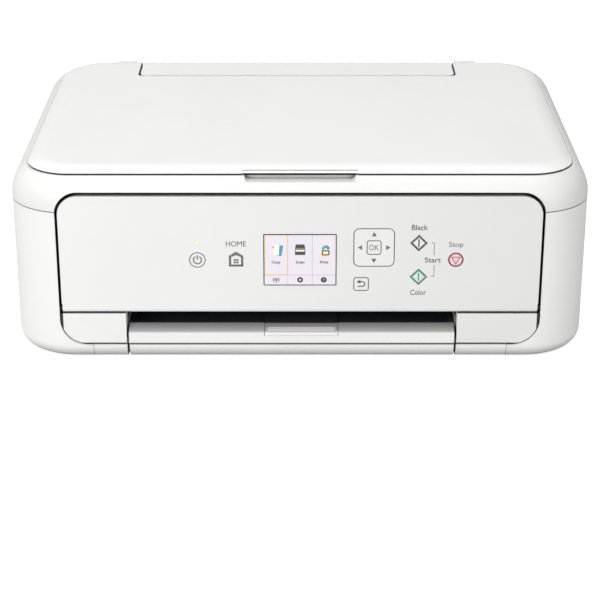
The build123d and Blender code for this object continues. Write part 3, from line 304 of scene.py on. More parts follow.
def make_seam_shade():
    """Finds narrow gaps and deep corners for the painted shade in them: 0 inside them, 1 on open
    faces.
    """
    tree, given, result = new_group(
        "seam_shade",
        [("Reach", "NodeSocketFloat", 0.006), ("Dark Below", "NodeSocketFloat", 0.25),
         ("Clear Above", "NodeSocketFloat", 0.5)],
        [("Open", "NodeSocketFloat")],
    )
    closed = node(tree, "ShaderNodeAmbientOcclusion", samples=8)
    spread = node(tree, "ShaderNodeMapRange", {"To Min": 0.0, "To Max": 1.0})
    link = tree.links.new
    link(given.outputs["Reach"], closed.inputs["Distance"])
    link(given.outputs["Dark Below"], spread.inputs["From Min"])
    link(given.outputs["Clear Above"], spread.inputs["From Max"])
    link(closed.outputs["AO"], spread.inputs["Value"])
    link(spread.outputs["Result"], result.inputs["Open"])
    return tree


def make_region():
    """A mask that is 1 inside a box of space and fades to 0 over a soft border."""
    tree, given, result = new_group(
        "region",
        [("Low", "NodeSocketVector", (-1, -1, -1)), ("High", "NodeSocketVector", (1, 1, 1)),
         ("Soft", "NodeSocketVector", (0.0001, 0.0001, 0.0001))],
        [("Inside", "NodeSocketFloat")],
    )
    where = node(tree, "ShaderNodeTexCoord")
    start = node(tree, "ShaderNodeVectorMath", operation="SUBTRACT")
    end = node(tree, "ShaderNodeVectorMath", operation="ADD")
    enter = node(tree, "ShaderNodeMapRange", data_type="FLOAT_VECTOR")
    exit_side = node(tree, "ShaderNodeMapRange", data_type="FLOAT_VECTOR")
    both = node(tree, "ShaderNodeVectorMath", operation="MULTIPLY")
    parts = node(tree, "ShaderNodeSeparateXYZ")
    flat = node(tree, "ShaderNodeMath", operation="MULTIPLY")
    inside = node(tree, "ShaderNodeMath", operation="MULTIPLY")
    link = tree.links.new
    link(given.outputs["Low"], start.inputs[0])
    link(given.outputs["Soft"], start.inputs[1])
    link(given.outputs["High"], end.inputs[0])
    link(given.outputs["Soft"], end.inputs[1])
    for spread, first, last in (
        (enter, start.outputs["Vector"], given.outputs["Low"]),
        (exit_side, end.outputs["Vector"], given.outputs["High"]),
    ):
        link(where.outputs["Object"], spread.inputs["Vector"])
        link(first, spread.inputs[vector_from_min])
        link(last, spread.inputs[vector_from_max])
    link(enter.outputs["Vector"], both.inputs[0])
    link(exit_side.outputs["Vector"], both.inputs[1])
    link(both.outputs["Vector"], parts.inputs["Vector"])
    link(parts.outputs["X"], flat.inputs[0])
    link(parts.outputs["Y"], flat.inputs[1])
    link(flat.outputs[0], inside.inputs[0])
    link(parts.outputs["Z"], inside.inputs[1])
    link(inside.outputs[0], result.inputs["Inside"])
    return tree


def make_brushing():
    """Fine lines drawn out along X, as on rolled sheet."""
    tree, given, result = new_group(
        "brushing",
        [("Line Scale", "NodeSocketFloat", 900.0)],
        [("Height", "NodeSocketFloat"), ("Gloss", "NodeSocketFloat")],
    )
    where = node(tree, "ShaderNodeTexCoord")
    drawn = node(tree, "ShaderNodeMapping", {"Scale": (0.02, 1.0, 1.0)})
    lines = node(tree, "ShaderNodeTexNoise", {"Detail": 4.0, "Roughness": 0.65})
    stains = node(tree, "ShaderNodeTexNoise", {"Scale": 25.0, "Detail": 5.0, "Roughness": 0.6})
    link = tree.links.new
    link(where.outputs["Object"], drawn.inputs["Vector"])
    link(drawn.outputs["Vector"], lines.inputs["Vector"])
    link(given.outputs["Line Scale"], lines.inputs["Scale"])
    link(where.outputs["Object"], stains.inputs["Vector"])
    link(lines.outputs["Fac"], result.inputs["Height"])
    link(stains.outputs["Fac"], result.inputs["Gloss"])
    return tree


moulded_skin = make_moulded_skin()
soft_edges = make_soft_edges()
seam_shade = make_seam_shade()
region = make_region()
brushing = make_brushing()


# Finishes


def darker(color, share):
    """That share of a colour."""
    return tuple(part * share for part in color)


def opened_finish(name):
    """A new material and its tree, with the surface shader and its output."""
    finish = bpy.data.materials.new(name)
    finish.use_nodes = True
    tree = finish.node_tree
    return finish, tree, tree.nodes["Principled BSDF"]


def group_node(tree, group, inputs):
    """A node of a shared group, with its own values."""
    made = node(tree, "ShaderNodeGroup", node_tree=group)
    for key, value in inputs.items():
        made.inputs[key].default_value = value
    return made


def mixed(tree, factor, first, second):
    """A colour that goes from the first to the second with the factor's socket."""
    mix = node(tree, "ShaderNodeMix", data_type="RGBA")
    tree.links.new(factor, mix.inputs["Factor"])
    for number, value in ((mix_first_color, first), (mix_second_color, second)):
        if isinstance(value, tuple):
            mix.inputs[number].default_value = (*value, 1.0)
        else:
            tree.links.new(value, mix.inputs[number])
    return mix.outputs[mix_color]


def ranged(tree, source, low, high, start=0.3, end=0.7):
    """The source's middle range spread from low to high."""
    spread = node(
        tree,
        "ShaderNodeMapRange",
        {"From Min": start, "From Max": end, "To Min": low, "To Max": high},
    )
    tree.links.new(source, spread.inputs["Value"])
    return spread.outputs["Result"]


def other_places(tree, places, shade):
    """Lays each place's colour over the colour so far; for some places that colour is painted
    shade.
    """
    for low, high, soft, other in places:
        spots = {"Low": low, "High": high, "Soft": soft}
        spots = {key: tuple(part * MM for part in value) for key, value in spots.items()}
        patch = group_node(tree, region, spots)
        shade = mixed(tree, patch.outputs["Inside"], shade, other)
    return shade


def bind_surface(tree, shader, texture, edges, shade, bump, gloss):
    """Links the relief over rounded edges, the colour and the range of gloss to the shader."""
    strength, distance = bump
    relief = node(tree, "ShaderNodeBump", {"Strength": strength, "Distance": distance})
    link = tree.links.new
    link(texture.outputs["Height"], relief.inputs["Height"])
    link(edges.outputs["Normal"], relief.inputs["Normal"])
    link(relief.outputs["Normal"], shader.inputs["Normal"])
    link(shade, shader.inputs["Base Color"])
    link(ranged(tree, texture.outputs["Gloss"], *gloss), shader.inputs["Roughness"])


def moulded(
    name, color, rough, grain=2600.0, depth=0.02, edge=0.0004, worn=0.35, deep=0.03, places=()
):
    """Injection-moulded plastic: fine grain, slow tone changes and slightly rubbed edges.

    The deep share of the colour is painted into narrow gaps and deep corners as shade.
    Each place is a low corner, a high corner, a soft border and another colour,
    which for some places is painted shade.
    """
    finish, tree, shader = opened_finish(name)
    skin = group_node(tree, moulded_skin, {"Grain Scale": grain, "Wave Scale": 45.0})
    edges = group_node(tree, soft_edges, {"Radius": edge, "Wear": worn})
    tone = mixed(tree, ranged(tree, skin.outputs["Tone"], 0.0, 1.0), color, darker(color, 0.975))
    rubbed = tuple(min(0.9, part * 1.06 + 0.02) for part in color)
    shade = mixed(tree, edges.outputs["Worn"], tone, rubbed)
    shade = other_places(tree, places, shade)
    # Painted shade: narrow gaps and deep corners get the deep share of the colour.
    gaps = group_node(tree, seam_shade, {})
    shade = mixed(tree, gaps.outputs["Open"], darker(color, deep), shade)
    bind_surface(tree, shader, skin, edges, shade, (0.25, depth * MM), (rough - 0.04, rough + 0.05))
    return finish


def metal(name, color, rough, lines=900.0):
    """Rolled or turned steel with drawn-out lines and faint stains."""
    finish, tree, shader = opened_finish(name)
    drawn = group_node(tree, brushing, {"Line Scale": lines})
    edges = group_node(tree, soft_edges, {"Radius": 0.0003, "Wear": 0.8})
    tone = mixed(tree, ranged(tree, drawn.outputs["Gloss"], 0.0, 1.0), color, darker(color, 0.86))
    bright = tuple(min(0.95, part * 1.15) for part in color)
    shade = mixed(tree, edges.outputs["Worn"], tone, bright)
    bind_surface(tree, shader, drawn, edges, shade, (0.2, 0.00002), (rough - 0.06, rough + 0.1))
    shader.inputs["Metallic"].default_value = 1.0
    return finish


def rubber(name, color):
    """Dull rubber with a coarse grain and dusty high spots."""
    finish, tree, shader = opened_finish(name)
    skin = group_node(tree, moulded_skin, {"Grain Scale": 1400.0, "Wave Scale": 120.0})
    edges = group_node(tree, soft_edges, {"Radius": 0.0004, "Wear": 1.2})
    dusty = tuple(part + 0.04 for part in color)
    tone = mixed(tree, ranged(tree, skin.outputs["Tone"], 0.0, 0.6), color, dusty)
    shade = mixed(tree, edges.outputs["Worn"], tone, tuple(part + 0.07 for part in color))
    bind_surface(tree, shader, skin, edges, shade, (0.5, 0.00006), (0.72, 0.9))
    return finish


def glass(name):
    """Clear float glass with a faint film that changes its gloss."""
    finish, tree, shader = opened_finish(name)
    skin = group_node(tree, moulded_skin, {"Grain Scale": 400.0, "Wave Scale": 18.0})
    tint = mixed(
        tree, ranged(tree, skin.outputs["Tone"], 0.0, 1.0), (0.86, 0.93, 0.91), (0.9, 0.95, 0.93)
    )
    tree.links.new(tint, shader.inputs["Base Color"])
    tree.links.new(ranged(tree, skin.outputs["Gloss"], 0.01, 0.05), shader.inputs["Roughness"])
    shader.inputs["Transmission Weight"].default_value = 1.0
    shader.inputs["IOR"].default_value = 1.5
    return finish


def circuit_board(name, places=()):
    """Solder-masked board with lighter copper runs, small vias and places of other colours."""
    finish, tree, shader = opened_finish(name)
    where = node(tree, "ShaderNodeTexCoord")
    runs = node(tree, "ShaderNodeTexBrick", {"Scale": 260.0, "Mortar Size": 0.03, "Bias": 0.2})
    runs.inputs["Color1"].default_value = (0.012, 0.12, 0.05, 1)
    runs.inputs["Color2"].default_value = (0.016, 0.16, 0.07, 1)
    runs.inputs["Mortar"].default_value = (0.05, 0.3, 0.14, 1)
    vias = node(tree, "ShaderNodeTexVoronoi", {"Scale": 330.0})
    turned = node(tree, "ShaderNodeMapping", {"Rotation": (math.radians(90), 0, 0)})
    link = tree.links.new
    link(where.outputs["Object"], turned.inputs["Vector"])
    link(turned.outputs["Vector"], runs.inputs["Vector"])
    link(turned.outputs["Vector"], vias.inputs["Vector"])
    dots = ranged(tree, vias.outputs["Distance"], 1.0, 0.0, 0.08, 0.14)
    shade = mixed(tree, dots, runs.outputs["Color"], (0.55, 0.5, 0.32))
    link(other_places(tree, places, shade), shader.inputs["Base Color"])
    link(ranged(tree, vias.outputs["Distance"], 0.3, 0.45, 0.1, 0.5), shader.inputs["Roughness"])
    return finish


def ink(name, color, rough=0.5):
    """Printed ink, a little uneven where the pad pressed it on."""
    finish, tree, shader = opened_finish(name)
    skin = group_node(tree, moulded_skin, {"Grain Scale": 1800.0, "Wave Scale": 500.0})
    pale = tuple(part + (1 - part) * 0.06 for part in color)
    shade = mixed(tree, ranged(tree, skin.outputs["Gloss"], 0.0, 1.0), color, pale)
    tree.links.new(shade, shader.inputs["Base Color"])
    tree.links.new(
        ranged(tree, skin.outputs["Tone"], rough - 0.05, rough + 0.08), shader.inputs["Roughness"]
    )
    return finish


def lit(name, color, glow):
    """A lit surface behind a clear layer: screen pixels or a lamp's lens."""
    finish, tree, shader = opened_finish(name)
    where = node(tree, "ShaderNodeTexCoord")
    dots = node(tree, "ShaderNodeTexVoronoi", {"Scale": 5200.0, "Randomness": 0.0})
    tree.links.new(where.outputs["Object"], dots.inputs["Vector"])
    shade = mixed(
        tree, ranged(tree, dots.outputs["Distance"], 0.0, 1.0, 0.2, 0.7), color, darker(color, 0.95)
    )
    tree.links.new(shade, shader.inputs["Base Color"])
    tree.links.new(shade, shader.inputs["Emission Color"])
    tree.links.new(
        ranged(tree, dots.outputs["Distance"], 0.16, 0.22, 0.2, 0.7), shader.inputs["Roughness"]
    )
    shader.inputs["Emission Strength"].default_value = glow
    return finish


# Places that get another colour on a moulding, in millimetres. The tray's slope, the finger recess,
# the panel's right side, the hinge pins in the side gaps and the low edges get painted shade; the
# tray's bed and the board's parts have their own colours.
nowhere = 1000.0
thin = (0.1, 0.1, 0.1)
far_low = (-nowhere, -nowhere, -nowhere)
far_high = (nowhere, nowhere, nowhere)
pin_reach = 174.3
pin_top = 46.0
pin_shade_black = (0.02, 0.02, 0.02)
board_face = 14.7
# The tray's slope is painted shade: grey over its height and darker towards the slot. The bed
# behind it is its own dark plastic.
slope_shade_low = ((-nowhere, -nowhere, 24.1), far_high, (0.1, 0.1, 1.2), (0.4, 0.4, 0.395))
slope_shade_high = ((-nowhere, -148.0, -nowhere), far_high, (0.1, 8.0, 0.1), (0.2, 0.2, 0.2))
tray_bed = ((-nowhere, -147.0, -nowhere), far_high, (0.1, 0.4, 0.1), (0.04, 0.045, 0.058))
shade_and_bed_places = (slope_shade_low, slope_shade_high, tray_bed)
# Painted shade inside the finger recess under the cover's edge.
recess_shade = ((-40.1, -nowhere, 138.6), (40.1, -120.0, nowhere), thin, (0.62, 0.62, 0.6))
# Painted shade that darkens the panel towards its right side.
right_side_shade = ((178.0, -nowhere, -nowhere), far_high, (357.0, 0.1, 0.1), (0.7, 0.7, 0.69))
# Painted shade: the hinge pins and the panel's sides low in the side gaps are painted black.
left_pin_shade = (far_low, (-pin_reach, nowhere, pin_top), thin, pin_shade_black)
right_pin_shade = ((pin_reach, -nowhere, -nowhere), (nowhere, nowhere, pin_top), thin, pin_shade_black)
low_shade = (far_low, (nowhere, nowhere, 2.0), (0.1, 0.1, 11.0), (0.42, 0.42, 0.41))
board_parts = ((-nowhere, -nowhere, board_face), far_high, thin, (0.03, 0.03, 0.032))
port_shell = ((-nowhere, 136.0, board_face), far_high, thin, (0.42, 0.42, 0.43))

# Colours that several mouldings share
shell_tone = (0.8, 0.8, 0.792)
front_tone = (0.79, 0.79, 0.785)

strip_white = moulded("strip_white", shell_tone, 0.4, deep=0.55, places=(low_shade,))
shell_white = moulded("shell_white", shell_tone, 0.4, places=(low_shade,))
cover_white = moulded("cover_white", (0.8, 0.8, 0.795), 0.42, grain=1900.0, depth=0.03)
key_white = moulded("key_white", (0.76, 0.76, 0.755), 0.42, edge=0.0003, worn=0.5)
black_plastic = moulded("black_plastic", (0.018, 0.019, 0.023), 0.5, depth=0.05, worn=0.25)
mid_grey_plastic = moulded("mid_grey_plastic", (0.3, 0.3, 0.31), 0.5, depth=0.04)
pale_grey_plastic = moulded("pale_grey_plastic", (0.55, 0.55, 0.55), 0.45, depth=0.03)
mint_key = moulded("mint_key", (0.58, 0.76, 0.7), 0.42, edge=0.0003)
pink_key = moulded("pink_key", (0.84, 0.62, 0.64), 0.42, edge=0.0003)
screen_rim = moulded("screen_rim", (0.05, 0.05, 0.055), 0.3, edge=0.0002)
nylon = moulded("nylon", (0.72, 0.71, 0.66), 0.5, worn=0.6)

housing_white = moulded("housing_white", (0.745, 0.745, 0.738), 0.42, places=(recess_shade,))
panel_white = moulded(
    "panel_white", front_tone, 0.45, worn=0.2, places=(right_side_shade, left_pin_shade, right_pin_shade)
)
# The tray and its support carry the painted shade of the slope and the own dark colour of the bed.
tray_shade_and_bed = moulded(
    "tray_shade_and_bed", front_tone, 0.42, worn=0.1, deep=0.3, places=shade_and_bed_places
)
# The grip's grey is painted shade: a white bar darkened like the slope around it.
grip_in_shade = moulded("grip_in_shade", (0.52, 0.52, 0.51), 0.42, deep=0.5)
support_shade_and_bed = moulded(
    "support_shade_and_bed", front_tone, 0.42, worn=0.1, deep=0.5, places=shade_and_bed_places
)
cartridge_shell = moulded("cartridge_shell", (0.03, 0.03, 0.033), 0.42, depth=0.04, worn=0.5)
foam_white = moulded("foam_white", (0.84, 0.84, 0.83), 0.8, grain=900.0, depth=0.15, worn=0.1)
foot_rubber = rubber("foot_rubber", (0.09, 0.09, 0.09))
roller_rubber = rubber("roller_rubber", (0.05, 0.05, 0.052))
zinc_sheet = metal("zinc_sheet", (0.6, 0.61, 0.62), 0.42)
turned_steel = metal("turned_steel", (0.72, 0.72, 0.73), 0.25, lines=1600.0)
float_glass = glass("float_glass")
solder_mask = circuit_board("solder_mask")
main_mask = circuit_board("main_mask", places=(board_parts, port_shell))
lamp_glow = lit("lamp_glow", (0.82, 0.93, 0.42), 0.45)

ink_black = ink("ink_black", (0.055, 0.055, 0.06))
ink_word = ink("ink_word", (0.05, 0.05, 0.052))
ink_grey = ink("ink_grey", (0.105, 0.105, 0.11))
ink_soft = ink("ink_soft", (0.17, 0.17, 0.175))
ink_green = ink("ink_green", (0.1, 0.19, 0.155))
ink_red = ink("ink_red", (0.3, 0.055, 0.07))

screen_pale = lit("screen_pale", (0.76, 0.72, 0.77), 0.05)
screen_white = lit("screen_white", (0.93, 0.93, 0.93), 0.3)
screen_line = lit("screen_line", (0.5, 0.42, 0.52), 0.03)
screen_gold = lit("screen_gold", (0.85, 0.62, 0.3), 0.06)
screen_dark = lit("screen_dark", (0.07, 0.07, 0.085), 0.01)
screen_cream = lit("screen_cream", (0.88, 0.78, 0.5), 0.05)
screen_orange = lit("screen_orange", (0.85, 0.3, 0.12), 0.05)
screen_blue = lit("screen_blue", (0.1, 0.32, 0.42), 0.04)
screen_green = lit("screen_green", (0.12, 0.42, 0.25), 0.04)

slot_finish = {
    "white_plastic": shell_white,
    "panel_plastic": panel_white,
    "dark_plastic": black_plastic,
    "grey_plastic": mid_grey_plastic,
    "key_plastic": key_white,
    "green_key": mint_key,
    "red_key": pink_key,
    "display_face": screen_rim,
    "lamp_lens": lamp_glow,
    "rubber_foot": foot_rubber,
    "roller_rubber": roller_rubber,
    "sheet_steel": zinc_sheet,
    "bright_steel": turned_steel,
    "clear_glass": float_glass,
    "pad_sheet": foam_white,
    "board_green": solder_mask,
    "gear_white": nylon,
    "cartridge_black": cartridge_shell,
}
node_finish = {
    "document_cover": cover_white,
    "rear_tray_cover": cover_white,
    "main_board": main_mask,
    "scanner_housing": housing_white,
    "cassette": strip_white,
    "bottom_case": strip_white,
    "output_tray": tray_shade_and_bed,
    "output_support": support_shade_and_bed,
    "paper_support": pale_grey_plastic,
    "carriage_belt": black_plastic,
}


def dress_solids():
    """Gives every carried-over solid its finish, in the slots that it came with."""
    for name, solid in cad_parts.items():
        for slot in solid.material_slots:
            finish = node_finish.get(name, slot_finish[slot.material.name.split(".")[0]])
            slot.material = finish


# Marks on the keys


def make_key_line(middle, size, corner):
    """The fine printed line along the rim of a square key."""
    line = square_start(middle, size)
    round_corners(line, corner, 6)
    cut_middle(line, key_line_width)
    return thicken(line, ink_height)


def make_power_mark():
    """The open ring and bar of a power key, and the line along its rim."""
    x, z = power_middle
    rim = rounded_start(48, power_middle, 5.5)
    cut_middle(rim, key_line_width)
    thicken(rim, ink_height)
    ring = rounded_start(40, power_middle, 3.35)
    cut_middle(ring, 0.9)
    cut_away(ring, lambda place: place.z > z and abs(place.x - x) < 1.15)
    thicken(ring, ink_height)
    bar = square_start((x, z + 1.9), (0.9, 3.6))
    round_corners(bar, 0.15, 2)
    thicken(bar, ink_height)
    mark = coat(join([ring, bar, rim]), ink_grey)
    return name_piece(mark, "power_mark", "power_button")


def make_home_mark():
    """A house with a broad roof line and a window of four panes."""
    x, z = home_middle
    house = square_start((x, z - 1.55), (9.4, 7.5))
    pick(house, "EDGE", lambda place: place.z > z + 2.1)
    bpy.ops.mesh.subdivide(number_cuts=1)
    leave()
    shift_corners(house, lambda place: abs(place.x - x) < near_middle and place.z > z, (0, 3.05))
    cut_middle(house, 1.1)
    shift_corners(
        house,
        lambda place: abs(place.x - x) < near_middle and z + 2.6 < place.z < z + 4.9,
        (0, -0.8),
    )
    thicken(house, ink_height)
    panes = [house]
    for column in (-0.95, 0.95):
        for row in (-2.6, -0.7):
            pane = square_start((x + column, z + row), (1.5, 1.5))
            round_corners(pane, 0.2, 2)
            panes.append(thicken(pane, ink_height))
    mark = coat(join(panes), ink_grey)
    return name_piece(mark, "home_mark", "home_button")


def make_pad_arrows():
    """Four arrow heads that point away from the pad's middle, and the line along its rim."""
    x, z = pad_middle
    arrows = [make_key_line(pad_middle, (29.0, 28.9), 4.0)]
    for turn in (0, 90, 180, 270):
        away = math.radians(turn)
        middle = (x + 9.8 * math.sin(away), z + 9.8 * math.cos(away))
        arrow = rounded_start(3, middle, 2.2, turn=turn)
        round_corners(arrow, 0.15, 2)
        arrows.append(thicken(arrow, ink_height))
    mark = coat(join(arrows), ink_grey)
    return name_piece(mark, "pad_arrows", "direction_pad")


def make_back_mark():
    """A line that turns round and comes back to an arrow head."""
    x, z = back_middle
    bend = x + 0.9
    turn = rounded_start(24, (bend, z), 2.25)
    cut_middle(turn, 0.9)
    cut_away(turn, lambda place: place.x < bend)
    draw_out(turn, lambda place: abs(place.x - bend) < near and place.z > z, (-2.4, 0))
    draw_out(turn, lambda place: abs(place.x - bend) < near and place.z < z, (-3.4, 0))
    thicken(turn, ink_height)
    head = rounded_start(3, (x - 1.5, z + 1.8), 1.9, turn=-90)
    thicken(head, ink_height)
    rim = make_key_line(back_middle, (10.3, 9.9), 1.6)
    mark = coat(join([turn, head, rim]), ink_grey)
    return name_piece(mark, "back_mark", "back_button")


def make_start_mark(name, body, middle, finish, band):
    """The rim and upright bar of a diamond start key."""
    rim = rounded_start(4, middle, 5.8)
    cut_middle(rim, band)
    thicken(rim, ink_height)
    bar = square_start(middle, (band, 6.2))
    round_corners(bar, 0.2, 2)
    thicken(bar, ink_height)
    mark = coat(join([rim, bar]), finish)
    return name_piece(mark, name, body)


def make_stop_mark():
    """A round rim and a triangle that points down."""
    x, z = stop_middle
    rim = rounded_start(48, stop_middle, 5.2)
    cut_middle(rim, 0.85)
    thicken(rim, ink_height)
    triangle = rounded_start(3, (x, z + 0.2), 4.2, turn=180)
    cut_middle(triangle, 0.65)
    thicken(triangle, ink_height)
    mark = coat(join([rim, triangle]), ink_red)
    return name_piece(mark, "stop_mark", "stop_button")


def word(text, middle, size, finish, face=panel_face, height=ink_height, bold=0.0):
    """Raised lettering of that width and height, laid on a face."""
    drop_selection()
    bpy.ops.object.text_add(rotation=(math.radians(90), 0, 0))
    letters = bpy.context.object
    letters.data.body = text
    letters.data.align_x = "CENTER"
    letters.data.align_y = "CENTER"
    letters.data.resolution_u = 4
    letters.data.offset = bold
    bpy.ops.object.convert(target="MESH")
    letters = bpy.context.object
    letters.scale = (
        size[0] * MM / letters.dimensions.x,
        size[1] * MM / letters.dimensions.y,
        1,
    )
    letters = settle()
    low = [min(corner.co[i] for corner in letters.data.vertices) for i in (0, 2)]
    high = [max(corner.co[i] for corner in letters.data.vertices) for i in (0, 2)]
    letters.location = (
        middle[0] * MM - (low[0] + high[0]) / 2,
        face * MM,
        middle[1] * MM - (low[1] + high[1]) / 2,
    )
    settle()
    thicken(letters, height)
    return coat(letters, finish)


def make_ok_mark():
    """The OK key's word and the line along its rim."""
    letters = word("OK", pad_middle, (7.1, 4.2), ink_grey)
    rim = coat(make_key_line(pad_middle, (9.8, 10.3), 1.6), ink_grey)
    return name_piece(join([letters, rim]), "ok_word", "ok_button")


# Words on the panel: text, middle, size and how much bolder
panel_words = {
    "home_word": ("HOME", (-46.4, 93.4), (14.6, 4.2), 0.0),
    "black_word": ("Black", (86.4, 106.1), (11.6, 4.1), 0.008),
    "color_word": ("Color", (86.4, 55.3), (11.6, 4.1), 0.008),
    "start_word": ("Start", (96.4, 80.9), (11.8, 4.1), 0.008),
    "stop_word": ("Stop", (112.9, 92.4), (10.4, 5.1), 0.0),
}


def make_panel_words():
    """The words beside the keys, each a piece of its own."""
    for name, (text, middle, size, bold) in panel_words.items():
        letters = word(text, middle, size, ink_word, bold=bold)
        name_piece(letters, name, "front_panel")


def make_bracket():
    """The thin line that ties both start keys to their word, open at the word."""
    upper = square_start((97.2, 94.1), (0.5, 0.5))
    draw_out(upper, lambda place: place.x < 97.0, (-1.5, 0))
    draw_out(upper, lambda place: place.z < 93.9 and place.x > 97.0, (0, -9.2))
    thicken(upper, ink_height)
    lower = square_start((97.5, 68.2), (0.5, 0.5))
    draw_out(lower, lambda place: place.x < 97.3, (-1.9, 0))
    draw_out(lower, lambda place: place.z > 68.4 and place.x > 97.3, (0, 8.4))
    thicken(lower, ink_height)
    mark = coat(join([upper, lower]), ink_soft)
    return name_piece(mark, "start_bracket", "front_panel")


# The grip on the output tray's support


def make_tab_grip():
    """A long rounded bar that stands a little off the tab's slope."""
    x, y, z = grip_middle
    drop_selection()
    bpy.ops.mesh.primitive_plane_add(
        size=1, location=in_place(x, z, y), rotation=(crest_slope, 0, 0)
    )
    bpy.context.object.scale = (grip_size[0] * MM, grip_size[1] * MM, 1)
    grip = settle()
    round_corners(grip, grip_corner, 8)
    pick(grip, "FACE", everything)
    height = grip_height * MM
    rise = (0, -height * math.sin(crest_slope), height * math.cos(crest_slope))
    bpy.ops.mesh.extrude_region_move(TRANSFORM_OT_translate={"value": rise})
    bpy.ops.mesh.inset(thickness=grip_crown_edge * MM, depth=grip_crown * MM)
    bpy.ops.mesh.select_all(action="SELECT")
    bpy.ops.mesh.normals_make_consistent(inside=False)
    leave()
    # The grey of this finish is painted shade.
    coat(grip, grip_in_shade)
    return name_piece(grip, "tab_grip", "output_support")


# The picture on the display


def screen_plate(middle, size, finish, level, corner=0.0, turn=0.0):
    """A flat patch of the picture, laid on its ground."""
    plate = square_start(middle, size, turn, panel_face - screen_sheet - level)
    if corner:
        round_corners(plate, corner, 3)
    thicken(plate, screen_print)
    return coat(plate, finish)


def make_screen_ground():
    """The pale sheet under the picture."""
    ground = square_start(screen_middle, screen_size)
    round_corners(ground, 0.4, 3)
    thicken(ground, screen_sheet)
    coat(ground, screen_pale)
    return name_piece(ground, "screen_ground", "front_panel")


def make_screen_border():
    """The dark line around the picture."""
    border = square_start(screen_middle, (53.0, 40.0))
    round_corners(border, 0.5, 3)
    cut_middle(border, 0.65)
    thicken(border, screen_sheet + 0.1)
    coat(border, screen_rim)
    return name_piece(border, "screen_border", "front_panel")


def make_screen_grid():
    """The lines that divide the picture, and the light frame round the chosen field."""
    lines = [
        screen_plate((x, screen_middle[1]), (0.28, 39.0), screen_line, 0.0) for x in screen_columns
    ]
    lines.append(screen_plate((0, screen_row), (51.8, 0.28), screen_line, 0.0))
    chosen = square_start((-17.4, 84.85), (16.8, 31.1), face=panel_face - screen_sheet)
    cut_middle(chosen, 0.5)
    thicken(chosen, screen_print * 1.5)
    lines.append(coat(chosen, screen_gold))
    return name_piece(join(lines), "screen_grid", "front_panel")


def make_copy_icon():
    """Two sheets, the one behind turned aside."""
    behind = screen_plate((-14.5, 88.2), (3.4, 8.2), screen_blue, 0.0, 0.3, 9)
    front = screen_plate((-17.3, 88.7), (4.2, 7.6), screen_white, screen_print, 0.3, 3)
    stripe = screen_plate((-19.3, 88.4), (1.3, 6.6), screen_cream, screen_print * 2, 0.2, 3)
    spot = screen_plate((-19.3, 90.9), (1.5, 1.5), screen_orange, screen_print * 3, 0.3)
    return name_piece(
        join([behind, front, stripe, spot]), "screen_copy_icon", "front_panel"
    )


def make_scan_icon():
    """A dark box with a sloping lid and a light band."""
    box = screen_plate((0.1, 87.2), (7.5, 4.8), screen_dark, 0.0, 0.4)
    lid = screen_plate((0.1, 91.4), (7.5, 3.2), screen_dark, 0.0)
    shift_corners(lid, lambda place: place.z > 92.0 and place.x < 0.1, (0.7, 0))
    shift_corners(lid, lambda place: place.z > 92.0 and place.x > 0.1, (-0.7, 0))
    band = screen_plate((0.1, 88.2), (6.5, 1.5), screen_cream, screen_print, 0.2)
    return name_piece(join([box, lid, band]), "screen_scan_icon", "front_panel")


def make_print_icon():
    """A framed picture over a tray, with two leaves above it."""
    picture = screen_plate((18.6, 86.6), (5.6, 3.8), screen_dark, 0.0, 0.3)
    inside = screen_plate((18.6, 86.5), (3.8, 2.3), screen_cream, screen_print, 0.2)
    tray = screen_plate((18.2, 84.4), (5.0, 0.8), screen_orange, 0.0, 0.2)
    leaves = [
        screen_plate((17.2, 90.4), (2.0, 3.4), screen_green, 0.0, 0.6, 35),
        screen_plate((19.9, 90.7), (2.2, 3.6), screen_blue, 0.0, 0.6, -40),
    ]
    return name_piece(
        join([picture, inside, tray, *leaves]), "screen_print_icon", "front_panel"
    )


def screen_ring(middle, radius, band, finish):
    """A flat ring of the picture, laid on its ground."""
    ring = rounded_start(24, middle, radius, face=panel_face - screen_sheet)
    cut_middle(ring, band)
    thicken(ring, screen_print)
    return coat(ring, finish)


def make_lower_icons():
    """An aerial with its waves, a gear's ring and a round help spot."""
    waves = []
    for radius, cut in ((2.4, 1.6), (1.5, 0.95)):
        waves.append(screen_ring((-17.3, 65.4), radius, 0.45, screen_dark))
        cut_away(waves[-1], lambda place: abs(place.x + 17.3) < cut)
    waves.append(screen_plate((-17.3, 64.4), (0.6, 3.0), screen_dark, 0.0))
    waves.append(screen_ring((-17.3, 65.9), 0.7, 0.3, screen_dark))
    x, z = 0.1, 65.3
    gear = [screen_ring((x, z), 1.95, 1.15, screen_dark)]
    for turn in range(0, 180, 45):
        for side in (1.9, -1.9):
            across = side * math.cos(math.radians(turn))
            up = side * math.sin(math.radians(turn))
            gear.append(screen_plate((x + across, z + up), (0.8, 0.8), screen_dark, 0.0, 0.1))
    spot = rounded_start(24, (17.3, 65.3), 2.2, face=panel_face - screen_sheet)
    coat(thicken(spot, screen_print), screen_dark)
    front = panel_face - screen_sheet - screen_print
    sign = word("?", (17.3, 65.3), (1.1, 2.2), screen_line, front, screen_print)
    return name_piece(
        join([*waves, *gear, spot, sign]), "screen_lower_icons", "front_panel"
    )


def make_screen_words():
    """The three field names under their icons."""
    face = panel_face - screen_sheet
    fields = (
        ("Copy", (-17.4, 78.9), (6.5, 2.7)),
        ("Scan", (0.1, 79.2), (6.2, 2.2)),
        ("Print", (17.6, 79.2), (6.1, 2.2)),
    )
    words = [
        word(text, middle, size, screen_dark, face, screen_print, 0.02)
        for text, middle, size in fields
    ]
    return name_piece(join(words), "screen_words", "front_panel")


# Light, floor and camera


air_strength = 0.36
floor_glow = 1.25
camera_place = (0, -1.3659, 0.5685)
camera_tilt = math.radians(66.78)
camera_lens = 107.83


